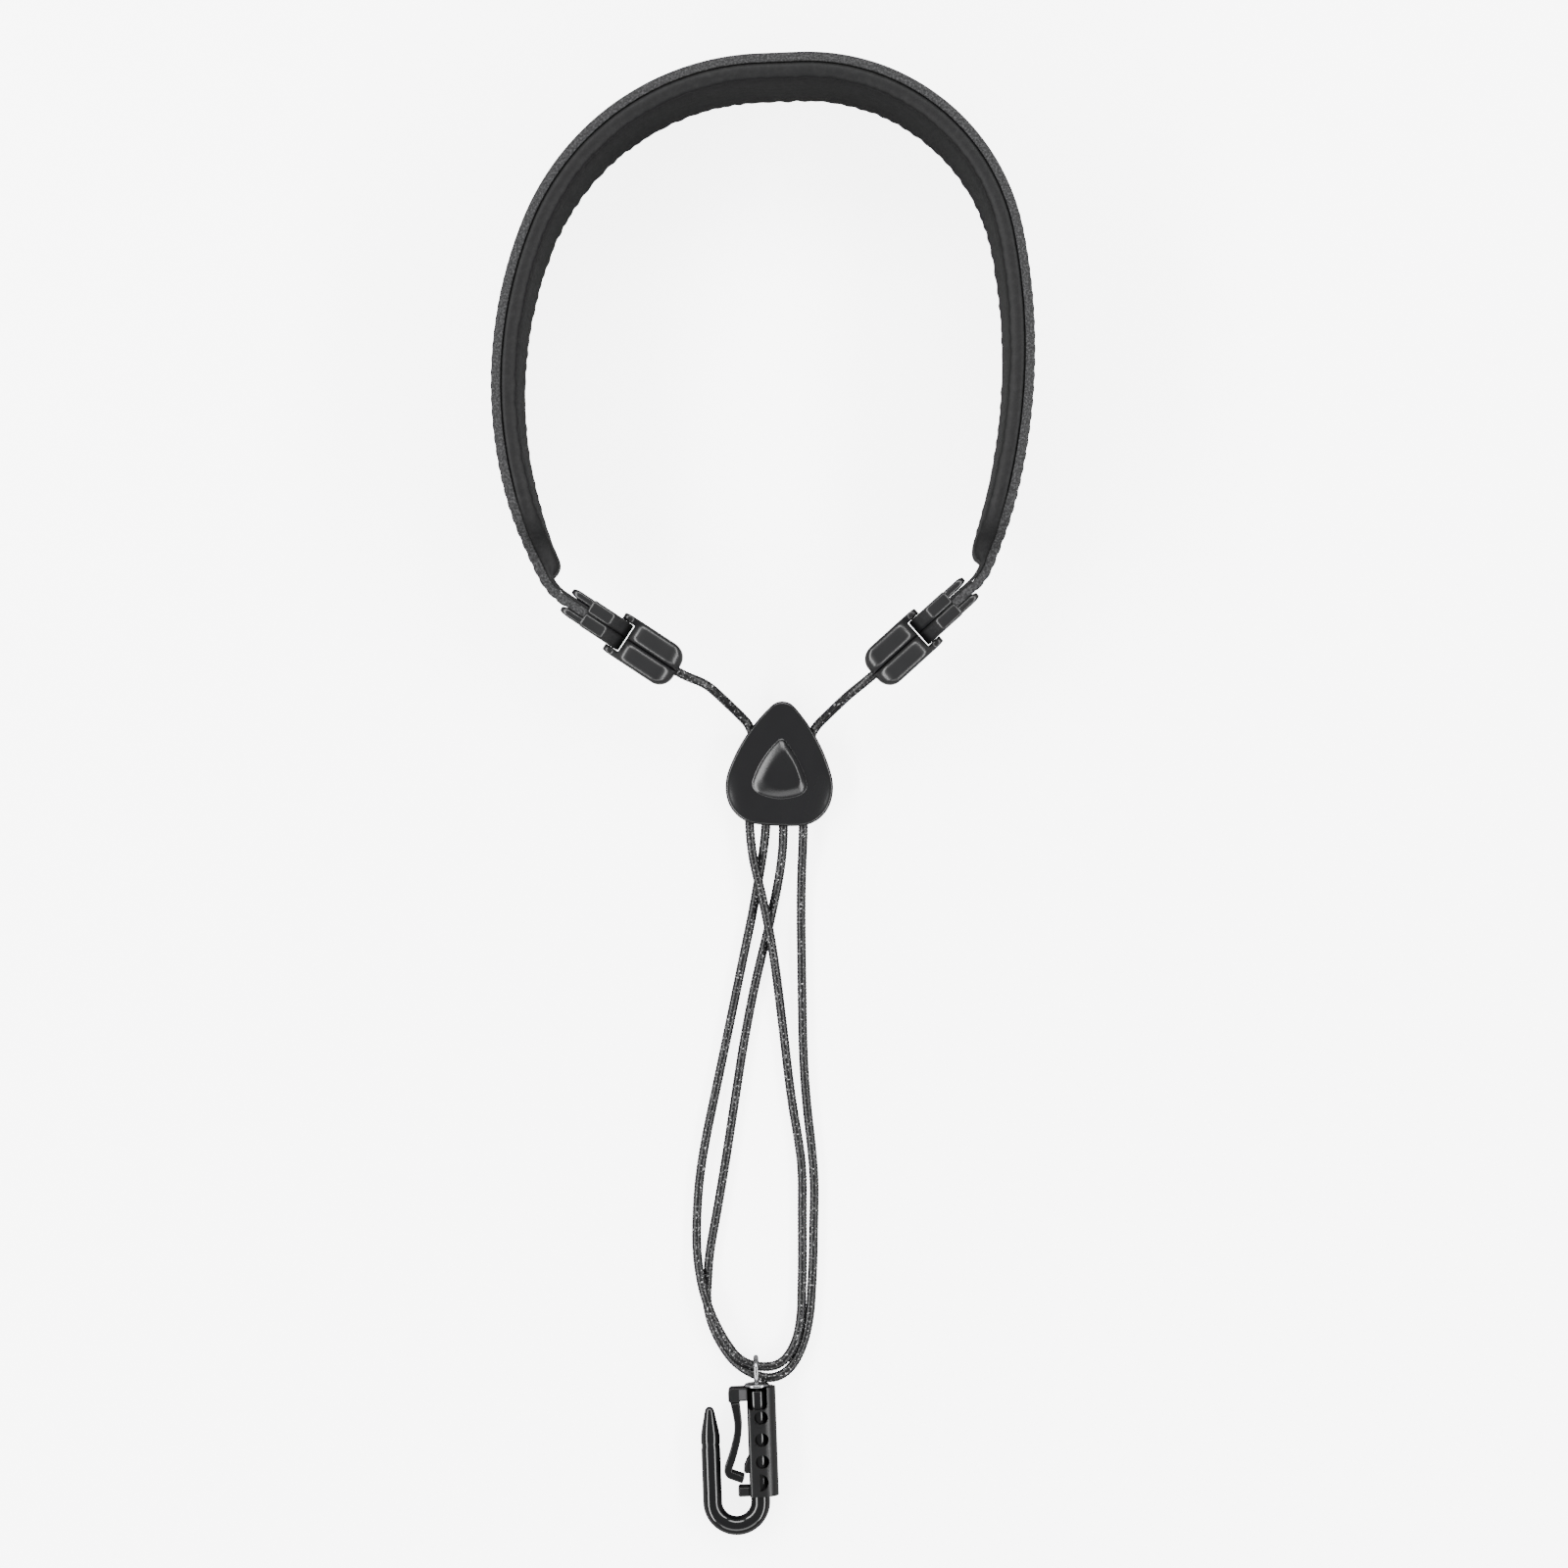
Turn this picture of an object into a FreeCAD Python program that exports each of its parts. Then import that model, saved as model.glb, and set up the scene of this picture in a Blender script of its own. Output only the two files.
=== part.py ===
import FreeCAD, Part
import os
from math import atan2, cos, degrees, pi, radians, sin, sqrt, tan

from FreeCAD import Placement, Rotation, Vector

# Saxophone neck strap, lying flat: the padded leather band stands on its edge, the cord runs
# down from its two clips through a slider to a swivel eye, and a latched hook hangs on the eye.
# Frame: +Y runs from the hook to the back of the neck, +Z is up, and the origin is on the
# surface below the middle of the whole strap. Lengths are in millimetres, angles in degrees.

os.makedirs("parts", exist_ok=True)
doc = FreeCAD.newDocument("NeckStrap")

# ------------------------------------------------------------------ driving dimensions

DIMENSIONS = {
    "band_width": 50.0,
    "leather_thickness": 3.0,
    "lining_thickness": 1.0,
    "padding_thickness": 5.2,
    "glue_gap": 0.05,
    "tab_half_height": 7.25,
    "taper_tab_y": 70.0,
    "taper_full_y": 105.0,
    "pad_end_length": 24.0,
    "band_start_x": -55.78,
    "band_start_y": 59.19,
    "band_start_heading": 146.7,
    "tab_depth_in_clamp": 4.0,
    "leather_offset_in_clamp": 2.05,
    "clamp_half_width": 4.8,
    "clamp_half_height": 8.0,
    "jaw_length": 8.0,
    "jaw_corner": 3.0,
    "clamp_shoulder_x": 8.0,
    "hinge_x": 12.5,
    "knuckle_reach": 2.5,
    "hinge_pin_dia": 1.6,
    "hinge_clearance": 0.1,
    "tab_pin_dia": 1.8,
    "tab_pin_x": 2.2,
    "tab_pin_height": 4.5,
    "tab_pin_half_length": 3.6,
    "barrel_half_width": 7.5,
    "barrel_half_height": 6.5,
    "barrel_front_x": 15.4,
    "barrel_end_x": 35.0,
    "barrel_end_corner": 5.2,
    "cheek_reach": 2.2,
    "fork_half_width": 5.1,
    "knot_cavity_x": 18.2,
    "knot_cavity_end_x": 31.5,
    "knot_cavity_dia": 6.8,
    "cord_dia": 2.9,
    "cord_hole_dia": 3.5,
    "knot_dia": 6.0,
    "knot_length": 4.0,
    "knot_centre_x": 20.3,
    "knot_tail_x": 28.3,
    "cord_joint_gap": 0.15,
    "slider_x": 5.3,
    "slider_y": 7.0,
    "slider_z": 5.0,
    "slider_tilt": -2.5,
    "slider_tip_y": 27.5,
    "slider_shell": 3.7,
    "slider_rim_round": 2.0,
    "slider_bump": 3.0,
    "hook_x": -2.5,
    "hook_y": -190.2,
    "hook_z": 5.5,
    "hook_tilt": 2.0,
    "eye_dia": 9.2,
    "eye_wire_dia": 1.7,
    "eye_shank_dia": 2.2,
    "eye_shank_end": 13.0,
    "eye_head_dia": 3.8,
    "eye_head_height": 1.4,
    "swivel_clearance": 0.1,
    "collar_dia": 8.0,
    "collar_top": 4.2,
    "collar_height": 0.9,
    "rod_dia": 6.2,
    "rod_top": 6.6,
    "core_dia": 3.0,
    "core_top": 15.6,
    "hook_spacing": 16.4,
    "bend_y": -43.5,
    "tip_base_y": -21.0,
    "tip_length": 8.6,
    "tip_end_dia": 2.5,
    "tip_groove_depth": 0.25,
    "tip_groove_width": 2.6,
    "sleeve_top": 5.2,
    "sleeve_length": 36.4,
    "sleeve_left_x": -3.5,
    "sleeve_round_x": 1.5,
    "sleeve_radius": 4.7,
    "sleeve_hole_dia": 4.6,
    "sleeve_hole_x": 1.1,
    "sleeve_first_hole": 15.1,
    "sleeve_hole_pitch": 7.4,
    "sleeve_window_y": -36.8,
    "sleeve_window_dia": 5.8,
    "sleeve_notch_half_width": 3.2,
    "sleeve_notch_depth": 7.3,
    "latch_half_width": 3.5,
    "latch_thickness": 2.5,
    "latch_root_half_width": 2.1,
    "latch_root_length": 2.9,
    "latch_pivot_x": -7.5,
    "latch_pivot_y": -7.4,
    "latch_knuckle_radius": 1.6,
    "latch_ear_radius": 2.1,
    "latch_slot_x": -5.4,
    "latch_pin_dia": 1.0,
    "latch_pin_clearance": 0.05,
}

sheet = doc.addObject("Spreadsheet::Sheet", "Dimensions")
for row, (alias, value) in enumerate(DIMENSIONS.items(), start=1):
    sheet.set(f"A{row}", alias)
    sheet.set(f"B{row}", str(value))
    sheet.setAlias(f"B{row}", alias)
doc.recompute()

Z_AXIS = Vector(0, 0, 1)
Y_AXIS = Vector(0, 1, 0)
X_AXIS = Vector(1, 0, 0)
nodes = []


def size(alias):
    """One driving dimension, as a number."""
    return float(sheet.get(alias))


def cell(expression):
    """An expression in which a leading @ marks a cell of the sheet."""
    return expression.replace("@", "Dimensions.")


def node(thing, label):
    """Names a finished sub-part and puts it on the list of files to write."""
    thing.Label = label
    nodes.append(thing)
    return thing


# ------------------------------------------------------------------ drawing helpers


def straight(start, end):
    return Part.LineSegment(start, end)


def closed_polygon(points):
    """The sides of a closed polygon."""
    return [straight(a, b) for a, b in zip(points, points[1:] + points[:1])]


def circle(x, y, radius):
    return Part.Circle(Vector(x, y, 0), Z_AXIS, radius)


def arc(start, middle, end):
    return Part.Arc(start, middle, end)


def corner_arc(centre, radius, from_deg, to_deg):
    """An arc about a centre, between two directions."""
    at = [
        centre + radius * Vector(cos(radians(a)), sin(radians(a)), 0)
        for a in (from_deg, (from_deg + to_deg) / 2, to_deg)
    ]
    return arc(*at)


class Chain:
    """A curve of tangent runs, each (length, turn). A turn is clockwise, and 0 is straight."""

    def __init__(self, start, heading, runs):
        self.runs = []
        self.length = 0.0
        for length, turn in runs:
            self.runs.append((self.length, length, turn, start, heading))
            start = self._step(start, heading, length, turn, length)
            heading -= turn
            self.length += length
        self.end = start
        self.end_heading = heading

    @staticmethod
    def _step(start, heading, length, turn, distance):
        turned = radians(turn) * distance / length
        chord = distance if not turned else 2 * length / radians(turn) * sin(turned / 2)
        direction = radians(heading) - turned / 2
        return start + chord * Vector(cos(direction), sin(direction), 0)

    def point(self, distance, offset):
        """The point at a distance along the curve, moved by offset to the curve's right."""
        for first, length, turn, start, heading in self.runs:
            if distance <= first + length + 1e-9:
                break
        on_curve = self._step(start, heading, length, turn, distance - first)
        direction = radians(heading - turn * (distance - first) / length)
        return on_curve + offset * Vector(sin(direction), -cos(direction), 0)

    def edges(self, offset, begin, end):
        """The lines and arcs of the curve moved by offset, between two distances."""
        found = []
        for first, length, turn, _, _ in self.runs:
            low, high = max(first, begin), min(first + length, end)
            if high - low < 1e-6:
                continue
            ends = self.point(low + 1e-9, offset), self.point(high, offset)
            if turn:
                found.append(arc(ends[0], self.point((low + high) / 2, offset), ends[1]))
            else:
                found.append(straight(*ends))
        return found

    def strip(self, inner, outer, begin, end):
        """The closed outline of a strip between two offsets."""
        caps = [
            straight(self.point(s + (1e-9 if s == begin else 0), inner),
                     self.point(s + (1e-9 if s == begin else 0), outer))
            for s in (begin, end)
        ]
        return self.edges(inner, begin, end) + self.edges(outer, begin, end) + caps


# ------------------------------------------------------------------ PartDesign helpers


def new_body(name):
    return doc.addObject("PartDesign::Body", name)


def add_sketch(body, plane, edges, lift=0.0):
    """A sketch of these edges on one of the body's own planes, raised by lift."""
    sketch = body.newObject("Sketcher::SketchObject", "Sketch")
    support = next(f for f in body.Origin.OriginFeatures if f.Role == plane + "_Plane")
    sketch.AttachmentSupport = [(support, "")]
    sketch.MapMode = "FlatFace"
    sketch.AttachmentOffset = Placement(Vector(0, 0, lift), Rotation())
    for edge in edges:
        sketch.addGeometry(edge, False)
    return sketch


def pad(body, sketch, length, reverse=False, symmetric=False, taper=None):
    """Adds the sketch's shape. length is an expression on the sheet."""
    feature = body.newObject("PartDesign::Pad", "Pad")
    feature.Profile = sketch
    feature.setExpression("Length", cell(length))
    feature.Reversed = reverse
    if symmetric:
        feature.SideType = "Symmetric"
    if taper is not None:
        feature.TaperAngle = taper
    doc.recompute()
    return feature


def pocket(body, sketch, length, reverse=False, symmetric=False):
    """Cuts the sketch's shape away, and checks that something was cut."""
    before = body.Shape.Volume
    feature = body.newObject("PartDesign::Pocket", "Pocket")
    feature.Profile = sketch
    feature.setExpression("Length", cell(length))
    feature.Reversed = reverse
    if symmetric:
        feature.SideType = "Symmetric"
    doc.recompute()
    if not body.Shape.Volume < before - 1e-3:
        raise RuntimeError(f"a pocket of {body.Name} cut nothing")
    return feature


def round_edges(body, radius, wanted):
    """Rounds the edges of the body for which wanted(edge) holds."""
    base = body.Tip
    names = [f"Edge{i}" for i, e in enumerate(base.Shape.Edges, start=1) if wanted(e)]
    feature = body.newObject("PartDesign::Fillet", "Round")
    feature.Base = (base, names)
    feature.setExpression("Radius", cell(radius))
    doc.recompute()
    if not names or not feature.Shape.isValid():
        raise RuntimeError(f"rounding {len(names)} edges of {body.Name} failed")
    return feature


def cylinder(name, radius, length, base, axis):
    """A Part cylinder whose radius and length are expressions on the sheet."""
    solid = doc.addObject("Part::Cylinder", name)
    solid.setExpression("Radius", cell(radius))
    solid.setExpression("Height", cell(length))
    solid.Placement = Placement(base, Rotation(Z_AXIS, axis))
    return solid


def cut(name, base, *tools):
    """Part booleans: base less the tools, one after the other."""
    for i, tool in enumerate(tools):
        feature = doc.addObject("Part::Cut", f"{name}_cut{i}")
        feature.Base = base
        feature.Tool = tool
        base = feature
    doc.recompute()
    return base


def fuse(name, *solids):
    feature = doc.addObject("Part::MultiFuse", name)
    feature.Shapes = list(solids)
    doc.recompute()
    return feature


# ------------------------------------------------------------------ band: leather, foam, lining

# Outer face of the leather, seen from above, from the left tab over the neck to the right tab.
BAND_RUNS = [
    (13.0, 0.0),
    (11.2, 30.7),
    (118.8, 47.9),
    (99.2, 65.9),
    (13.0, 0.0),
    (101.1, 81.0),
    (110.1, 31.8),
    (9.5, 27.2),
    (13.0, 0.0),
]
band = Chain(
    Vector(size("band_start_x"), size("band_start_y"), 0),
    size("band_start_heading"),
    BAND_RUNS,
)
SPAN = 220.0


def taper_profile(inset):
    """Two regions above and below the band, seen from its side, that narrow it to the tabs."""
    middle, half = size("band_width") / 2, size("band_width") / 2 - inset
    tab = size("tab_half_height") - inset
    y_tab, y_full = size("taper_tab_y") + inset, size("taper_full_y") + inset
    run, rise = y_full - y_tab, half - tab
    bend = (run**2 + rise**2) / (4 * rise)
    slope = degrees(atan2(rise, run)) * 2
    edges = []
    for side in (1, -1):
        def at(y, height):
            return Vector(y, middle + side * height, 0)

        def on_bend(centre_y, centre_height, angle):
            return at(centre_y + bend * sin(radians(angle)), centre_height - bend * cos(radians(angle)))

        half_way = at((y_tab + y_full) / 2, (tab + half) / 2)
        rising = arc(at(y_tab, tab), on_bend(y_tab, tab + bend, slope / 2), half_way)
        falling = arc(half_way, on_bend(y_full, half - bend, 180 + slope / 2), at(y_full, half))
        outline = [at(y_full, half), at(y_full, 2 * half), at(0, 2 * half), at(0, tab), at(y_tab, tab)]
        edges += [rising, falling] + [straight(a, b) for a, b in zip(outline, outline[1:])]
    return edges


def band_layer(name, outline, bottom, height, inset):
    """A layer of the band: its outline from above, raised, and narrowed to the tabs."""
    body = new_body(name)
    pad(body, add_sketch(body, "XY", outline, bottom), height)
    pocket(body, add_sketch(body, "YZ", taper_profile(inset)), f"{SPAN}", symmetric=True)
    return body


leather_in = size("leather_thickness")
lining_out = leather_in + size("glue_gap")
lining_in = leather_in + size("glue_gap") + size("lining_thickness")
pad_in = leather_in + size("padding_thickness")
pad_begin, pad_end = size("pad_end_length"), band.length - size("pad_end_length")
skin = size("lining_thickness")

leather = band_layer("Leather", band.strip(0, leather_in, 0, band.length), 0.0, "@band_width", 0.0)
foam = band_layer(
    "Foam",
    band.strip(lining_out, pad_in - skin, pad_begin + skin, pad_end - skin),
    skin,
    "@band_width - 2 * @lining_thickness",
    skin,
)
lining_outline = (
    band.edges(lining_out, 0, band.length)
    + band.edges(lining_in, 0, pad_begin)
    + band.edges(pad_in, pad_begin, pad_end)
    + band.edges(lining_in, pad_end, band.length)
)
for at_distance, inner, outer in (
    (1e-9, lining_out, lining_in),
    (pad_begin, lining_in, pad_in),
    (pad_end, lining_in, pad_in),
    (band.length, lining_out, lining_in),
):
    lining_outline.append(straight(band.point(at_distance, inner), band.point(at_distance, outer)))
lining = band_layer("Lining", lining_outline, 0.0, "@band_width", 0.0)
doc.recompute()

# ------------------------------------------------------------------ clips at the band's ends


def clip_frame(tab_end, heading, inward):
    """The clip's own frame: x runs from the clamp's seam towards the cord, z is up."""
    along = Vector(cos(radians(heading)), sin(radians(heading)), 0)
    across = Vector(-along.y, along.x, 0) * inward
    seam = tab_end - along * size("tab_depth_in_clamp") + across * size("leather_offset_in_clamp")
    seam.z = size("band_width") / 2
    return Placement(seam, Rotation(Z_AXIS, heading))


def mirrored(points):
    """The points, then the same points mirrored in the x axis, backwards."""
    return points + [Vector(p.x, -p.y, 0) for p in reversed(points)]


def tangent_point(corner, centre_x, radius):
    """Where the line from a corner, round the outside, touches a circle on the x axis."""
    dx, dy = corner.x - centre_x, corner.y
    side = 1 if dx < 0 else -1
    spread = pi / 2 - atan2(radius, sqrt(dx**2 + dy**2 - radius**2))
    angle = atan2(dy, dx) - side * spread
    return Vector(centre_x + radius * cos(angle), radius * sin(angle), 0)


def clamp_side_profile():
    """Clamp half seen from its side: jaw, shoulder and a knuckle about the hinge."""
    height, corner = size("clamp_half_height"), size("jaw_corner")
    jaw_x, hinge, reach = -size("jaw_length"), size("hinge_x"), size("knuckle_reach")
    shoulder = Vector(size("clamp_shoulder_x"), height, 0)
    touch = tangent_point(shoulder, hinge, reach)
    low_touch = Vector(touch.x, -touch.y, 0)
    edges = [
        arc(touch, Vector(hinge + reach, 0, 0), low_touch),
        corner_arc(Vector(jaw_x + corner, height - corner, 0), corner, 90, 180),
        corner_arc(Vector(jaw_x + corner, corner - height, 0), corner, 180, 270),
        straight(Vector(jaw_x, height - corner, 0), Vector(jaw_x, corner - height, 0)),
    ]
    for mirror in (1, -1):
        edges.append(straight(Vector(jaw_x + corner, mirror * height, 0), Vector(shoulder.x, mirror * height, 0)))
        edges.append(straight(Vector(shoulder.x, mirror * height, 0), Vector(touch.x, mirror * touch.y, 0)))
    edges.append(circle(hinge, 0, size("hinge_pin_dia") / 2 + size("hinge_clearance")))
    return edges


def clamp_half(name, side):
    """One half of the strap clamp. side is +1 or -1 in the clip's y."""
    body = new_body(name)
    up = side > 0
    pad(body, add_sketch(body, "XZ", clamp_side_profile()), "@clamp_half_width", reverse=up)
    height, tab = 2 * size("clamp_half_height"), size("tab_half_height") + 0.15
    jaw_gap = closed_polygon(mirrored([Vector(-12, height, 0), Vector(0, height, 0)]))
    tab_slot = closed_polygon(mirrored([Vector(-0.5, tab, 0), Vector(size("tab_depth_in_clamp") + 0.3, tab, 0)]))
    pins = [circle(size("tab_pin_x"), s * size("tab_pin_height"), size("tab_pin_dia") / 2) for s in (1, -1)]
    for edges, depth in (
        (jaw_gap, "@leather_offset_in_clamp"),
        (tab_slot, "@leather_offset_in_clamp"),
        (pins, "@tab_pin_half_length"),
    ):
        pocket(body, add_sketch(body, "XZ", edges), depth, reverse=not up)
    return body


def barrel_side_profile():
    """Barrel half seen from its side: cheek about the hinge pin, then the rounded body."""
    height, end, corner = size("barrel_half_height"), size("barrel_end_x"), size("barrel_end_corner")
    hinge, reach = size("hinge_x"), size("cheek_reach")
    shoulder = Vector(size("barrel_front_x") + 2.5, height, 0)
    touch = tangent_point(shoulder, hinge, reach)
    edges = [
        arc(touch, Vector(hinge - reach, 0, 0), Vector(touch.x, -touch.y, 0)),
        corner_arc(Vector(end - corner, height - corner, 0), corner, 90, 0),
        corner_arc(Vector(end - corner, corner - height, 0), corner, 0, -90),
        straight(Vector(end, height - corner, 0), Vector(end, corner - height, 0)),
    ]
    for mirror in (1, -1):
        edges.append(straight(Vector(touch.x, mirror * touch.y, 0), Vector(shoulder.x, mirror * height, 0)))
        edges.append(straight(Vector(shoulder.x, mirror * height, 0), Vector(end - corner, mirror * height, 0)))
    edges.append(circle(hinge, 0, size("hinge_pin_dia") / 2))
    return edges


def barrel_half(name, side):
    """One half of the barrel that holds the cord's knot, forked round the clamp's knuckle."""
    body = new_body(name)
    up = side > 0
    pad(body, add_sketch(body, "XZ", barrel_side_profile()), "@barrel_half_width", reverse=up)
    front, wide = size("barrel_front_x"), 2 * size("barrel_half_height")
    fork = closed_polygon(mirrored([Vector(5, wide, 0), Vector(front, wide, 0)]))
    pocket(body, add_sketch(body, "XZ", fork), "@fork_half_width", reverse=not up)
    end, half, corner = size("barrel_end_x"), size("barrel_half_width"), size("barrel_end_corner")
    outside = [Vector(end + 1, half - corner, 0), Vector(end + 1, half + 1, 0), Vector(end - corner, half + 1, 0)]
    outline = [Vector(end, half - corner, 0)] + outside + [Vector(end - corner, half, 0)]
    rounding = [straight(a, b) for a, b in zip(outline, outline[1:])]
    rounding.append(corner_arc(Vector(end - corner, half - corner, 0), corner, 90, 0))
    if not up:
        flip = FreeCAD.Matrix()
        flip.scale(1, -1, 1)
        for edge in rounding:
            edge.transform(flip)
    pocket(body, add_sketch(body, "XY", rounding), f"{SPAN}", symmetric=True)
    cavity, hole = size("knot_cavity_dia") / 2, size("cord_hole_dia") / 2
    start, stop = size("knot_cavity_x"), size("knot_cavity_end_x")
    bore = [Vector(start, 0, 0), Vector(start, cavity, 0), Vector(stop, cavity, 0),
            Vector(stop, hole, 0), Vector(end + 1, hole, 0), Vector(end + 1, 0, 0)]
    sketch = add_sketch(body, "XZ", closed_polygon(bore))
    before = body.Shape.Volume
    groove = body.newObject("PartDesign::Groove", "KnotCavity")
    groove.Profile = sketch
    groove.ReferenceAxis = (sketch, ["H_Axis"])
    groove.Angle = 360
    doc.recompute()
    if not body.Shape.Volume < before - 1:
        raise RuntimeError(f"the knot cavity of {name} cut nothing")
    return body


clips = {
    "left": clip_frame(band.point(1e-9, 0), band.runs[0][4] + 180, 1),
    "right": clip_frame(band.end, band.end_heading, -1),
}
tab_pins = {}
for side_name, frame in clips.items():
    inner = 1 if side_name == "left" else -1
    for part_name, make in (("clamp", clamp_half), ("barrel", barrel_half)):
        for half_name, side in (("inner", inner), ("outer", -inner)):
            half = node(make(f"{side_name}_{part_name}_{half_name}", side), f"{side_name}_{part_name}_{half_name}")
            half.Placement = frame

    half_length = size("barrel_half_width") - 0.3
    hinge_pin = cylinder(
        f"{side_name}_hinge_pin",
        "@hinge_pin_dia / 2",
        "2 * (@barrel_half_width - 0.3)",
        frame.multVec(Vector(size("hinge_x"), -half_length, 0)),
        frame.Rotation.multVec(Y_AXIS),
    )
    node(hinge_pin, f"{side_name}_hinge_pin")

    pair = [
        cylinder(
            f"{side_name}_tab_pin",
            "@tab_pin_dia / 2",
            "2 * @tab_pin_half_length",
            frame.multVec(Vector(size("tab_pin_x"), -size("tab_pin_half_length"), s * size("tab_pin_height"))),
            frame.Rotation.multVec(Y_AXIS),
        )
        for s in (1, -1)
    ]
    tab_pins[side_name] = node(fuse(f"{side_name}_tab_pins", *pair), f"{side_name}_tab_pins")

    knot = doc.addObject("Part::Ellipsoid", f"{side_name}_knot")
    knot.setExpression("Radius1", cell("@knot_length / 2"))
    knot.setExpression("Radius2", cell("@knot_dia / 2"))
    knot.setExpression("Radius3", cell("@knot_dia / 2"))
    knot.Placement = Placement(
        frame.multVec(Vector(size("knot_centre_x"), 0, 0)),
        Rotation(Z_AXIS, frame.Rotation.multVec(X_AXIS)),
    )
    tail = cylinder(
        f"{side_name}_knot_tail",
        "@cord_dia / 2",
        "@knot_tail_x - @knot_centre_x",
        frame.multVec(Vector(size("knot_centre_x"), 0, 0)),
        frame.Rotation.multVec(X_AXIS),
    )
    node(fuse(f"{side_name}_knot_and_tail", knot, tail), f"{side_name}_cord_knot")

node(cut("leather", leather, *tab_pins.values()), "outer_leather")
node(foam, "pad_foam")
node(cut("lining", lining, foam, *tab_pins.values()), "pad_cover")

# ------------------------------------------------------------------ cord

# Corners of the cord's route, from knot to knot. Each stretch starts where the last one ends.
def on_clip(name, x):
    """A point on the axis of a clip."""
    return tuple(clips[name].multVec(Vector(x, 0, 0)))


CORD_ROUTE = {
    "left_cord_end": [
        on_clip("left", 28.5), on_clip("left", 36.8), (-19.2, 40.1, 23.0), (-14.4, 35.9, 17.6),
        (-10.5, 32.2, 11.7)],
    "left_cord": [
        (-10.5, 32.2, 11.7), (-7.3, 29.2, 7.4), (-4.7, 26.2, 5.2), (-3.2, 21.5, 5.0), (-4.0, 14.8, 5.0),
        (-4.8, 8.2, 5.0), (-5.0, 2.0, 5.0)],
    "cord_run_left": [
        (-5.0, 2.0, 5.0), (-4.9, -4.0, 5.0), (-4.5, -11.5, 4.9), (-3.4, -19.5, 4.8), (-1.4, -27.5, 4.8),
        (0.8, -37.0, 4.8), (3.5, -51.5, 4.0), (6.1, -72.2, 1.5), (9.1, -98.5, 1.5), (11.6, -112.5, 1.5),
        (13.0, -123.0, 1.5), (12.9, -138.0, 1.5), (13.0, -154.0, 1.5), (12.8, -164.0, 1.5)],
    "bight_inner": [
        (12.8, -164.0, 1.5), (12.5, -172.3, 2.2), (10.4, -181.2, 3.5), (5.4, -188.0, 4.4),
        (-2.45, -189.0, 4.4), (-8.6, -186.4, 4.5), (-12.6, -181.0, 4.6), (-15.6, -175.8, 4.6)],
    "cord_middle_loop": [
        (-15.6, -175.8, 4.6), (-18.4, -169.6, 4.6), (-20.8, -162.0, 4.2), (-22.5, -152.0, 1.8),
        (-22.7, -141.3, 1.5), (-21.8, -126.5, 1.5), (-19.6, -112.7, 1.5), (-15.9, -95.2, 1.5),
        (-11.1, -72.2, 1.5), (-6.9, -51.5, 1.5), (-3.6, -36.0, 1.5), (-1.9, -26.0, 1.5), (-0.3, -17.0, 2.6),
        (0.7, -8.5, 5.0), (1.1, 0.0, 5.0), (0.9, 6.0, 5.0), (0.9, 12.0, 5.0), (6.9, 12.0, 5.0),
        (6.9, 6.0, 5.0), (6.4, 0.0, 5.0), (6.7, -8.5, 5.0), (6.2, -17.5, 2.8), (4.8, -27.0, 1.5),
        (1.4, -42.6, 1.5), (-2.9, -60.0, 1.5), (-6.7, -79.8, 1.5), (-9.7, -99.5, 1.5),
        (-12.7, -119.3, 1.5), (-15.7, -137.0, 1.5), (-18.3, -150.8, 1.5), (-18.9, -160.0, 1.5)],
    "bight_outer": [
        (-18.9, -160.0, 1.5), (-19.3, -167.0, 1.5), (-17.8, -174.5, 1.5), (-14.4, -181.8, 1.5),
        (-9.6, -188.2, 2.3), (-2.45, -192.15, 4.3), (3.8, -192.9, 4.3), (9.3, -189.6, 3.6),
        (13.5, -181.7, 2.2), (15.6, -171.8, 1.5), (16.1, -163.5, 1.5)],
    "cord_run_right": [
        (16.1, -163.5, 1.5), (16.6, -154.0, 1.5), (16.8, -141.0, 1.5), (17.1, -128.0, 1.5),
        (16.2, -116.0, 1.5), (14.3, -100.2, 1.5), (13.2, -83.7, 1.5), (12.8, -59.0, 1.5),
        (12.5, -36.0, 1.5), (12.7, -23.5, 1.9), (13.1, -14.5, 4.3), (13.3, -7.0, 5.0), (13.25, 1.0, 5.0)],
    "right_cord": [
        (13.25, 1.0, 5.0), (13.5, 8.0, 5.0), (14.1, 15.5, 5.0), (15.4, 21.8, 5.0), (17.4, 26.2, 5.8),
        (20.2, 28.7, 8.9)],
    "right_cord_end": [
        (20.2, 28.7, 8.9), (24.2, 32.6, 14.4), (29.0, 37.0, 20.9), on_clip("right", 36.8),
        on_clip("right", 28.5)],
}


def route_edges(points):
    """Straight runs joined by tangent arcs, each arc as large as its two runs allow."""
    points = [Vector(*p) for p in points]
    edges, radii, last = [], [], points[0]
    for before, corner, after in zip(points, points[1:], points[2:]):
        back, ahead = before - corner, after - corner
        cut_back = 0.45 * min(back.Length, ahead.Length)
        half_turn = (pi - back.getAngle(ahead)) / 2
        radii.append(cut_back / tan(half_turn))
        back.normalize()
        ahead.normalize()
        start, end = corner + back * cut_back, corner + ahead * cut_back
        inward = (back + ahead).normalize()
        middle = corner + inward * (radii[-1] * (1 / cos(half_turn) - 1))
        edges += [Part.LineSegment(last, start).toShape(), Part.Arc(start, middle, end).toShape()]
        last = end
    edges.append(Part.LineSegment(last, points[-1]).toShape())
    return edges, radii


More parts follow.
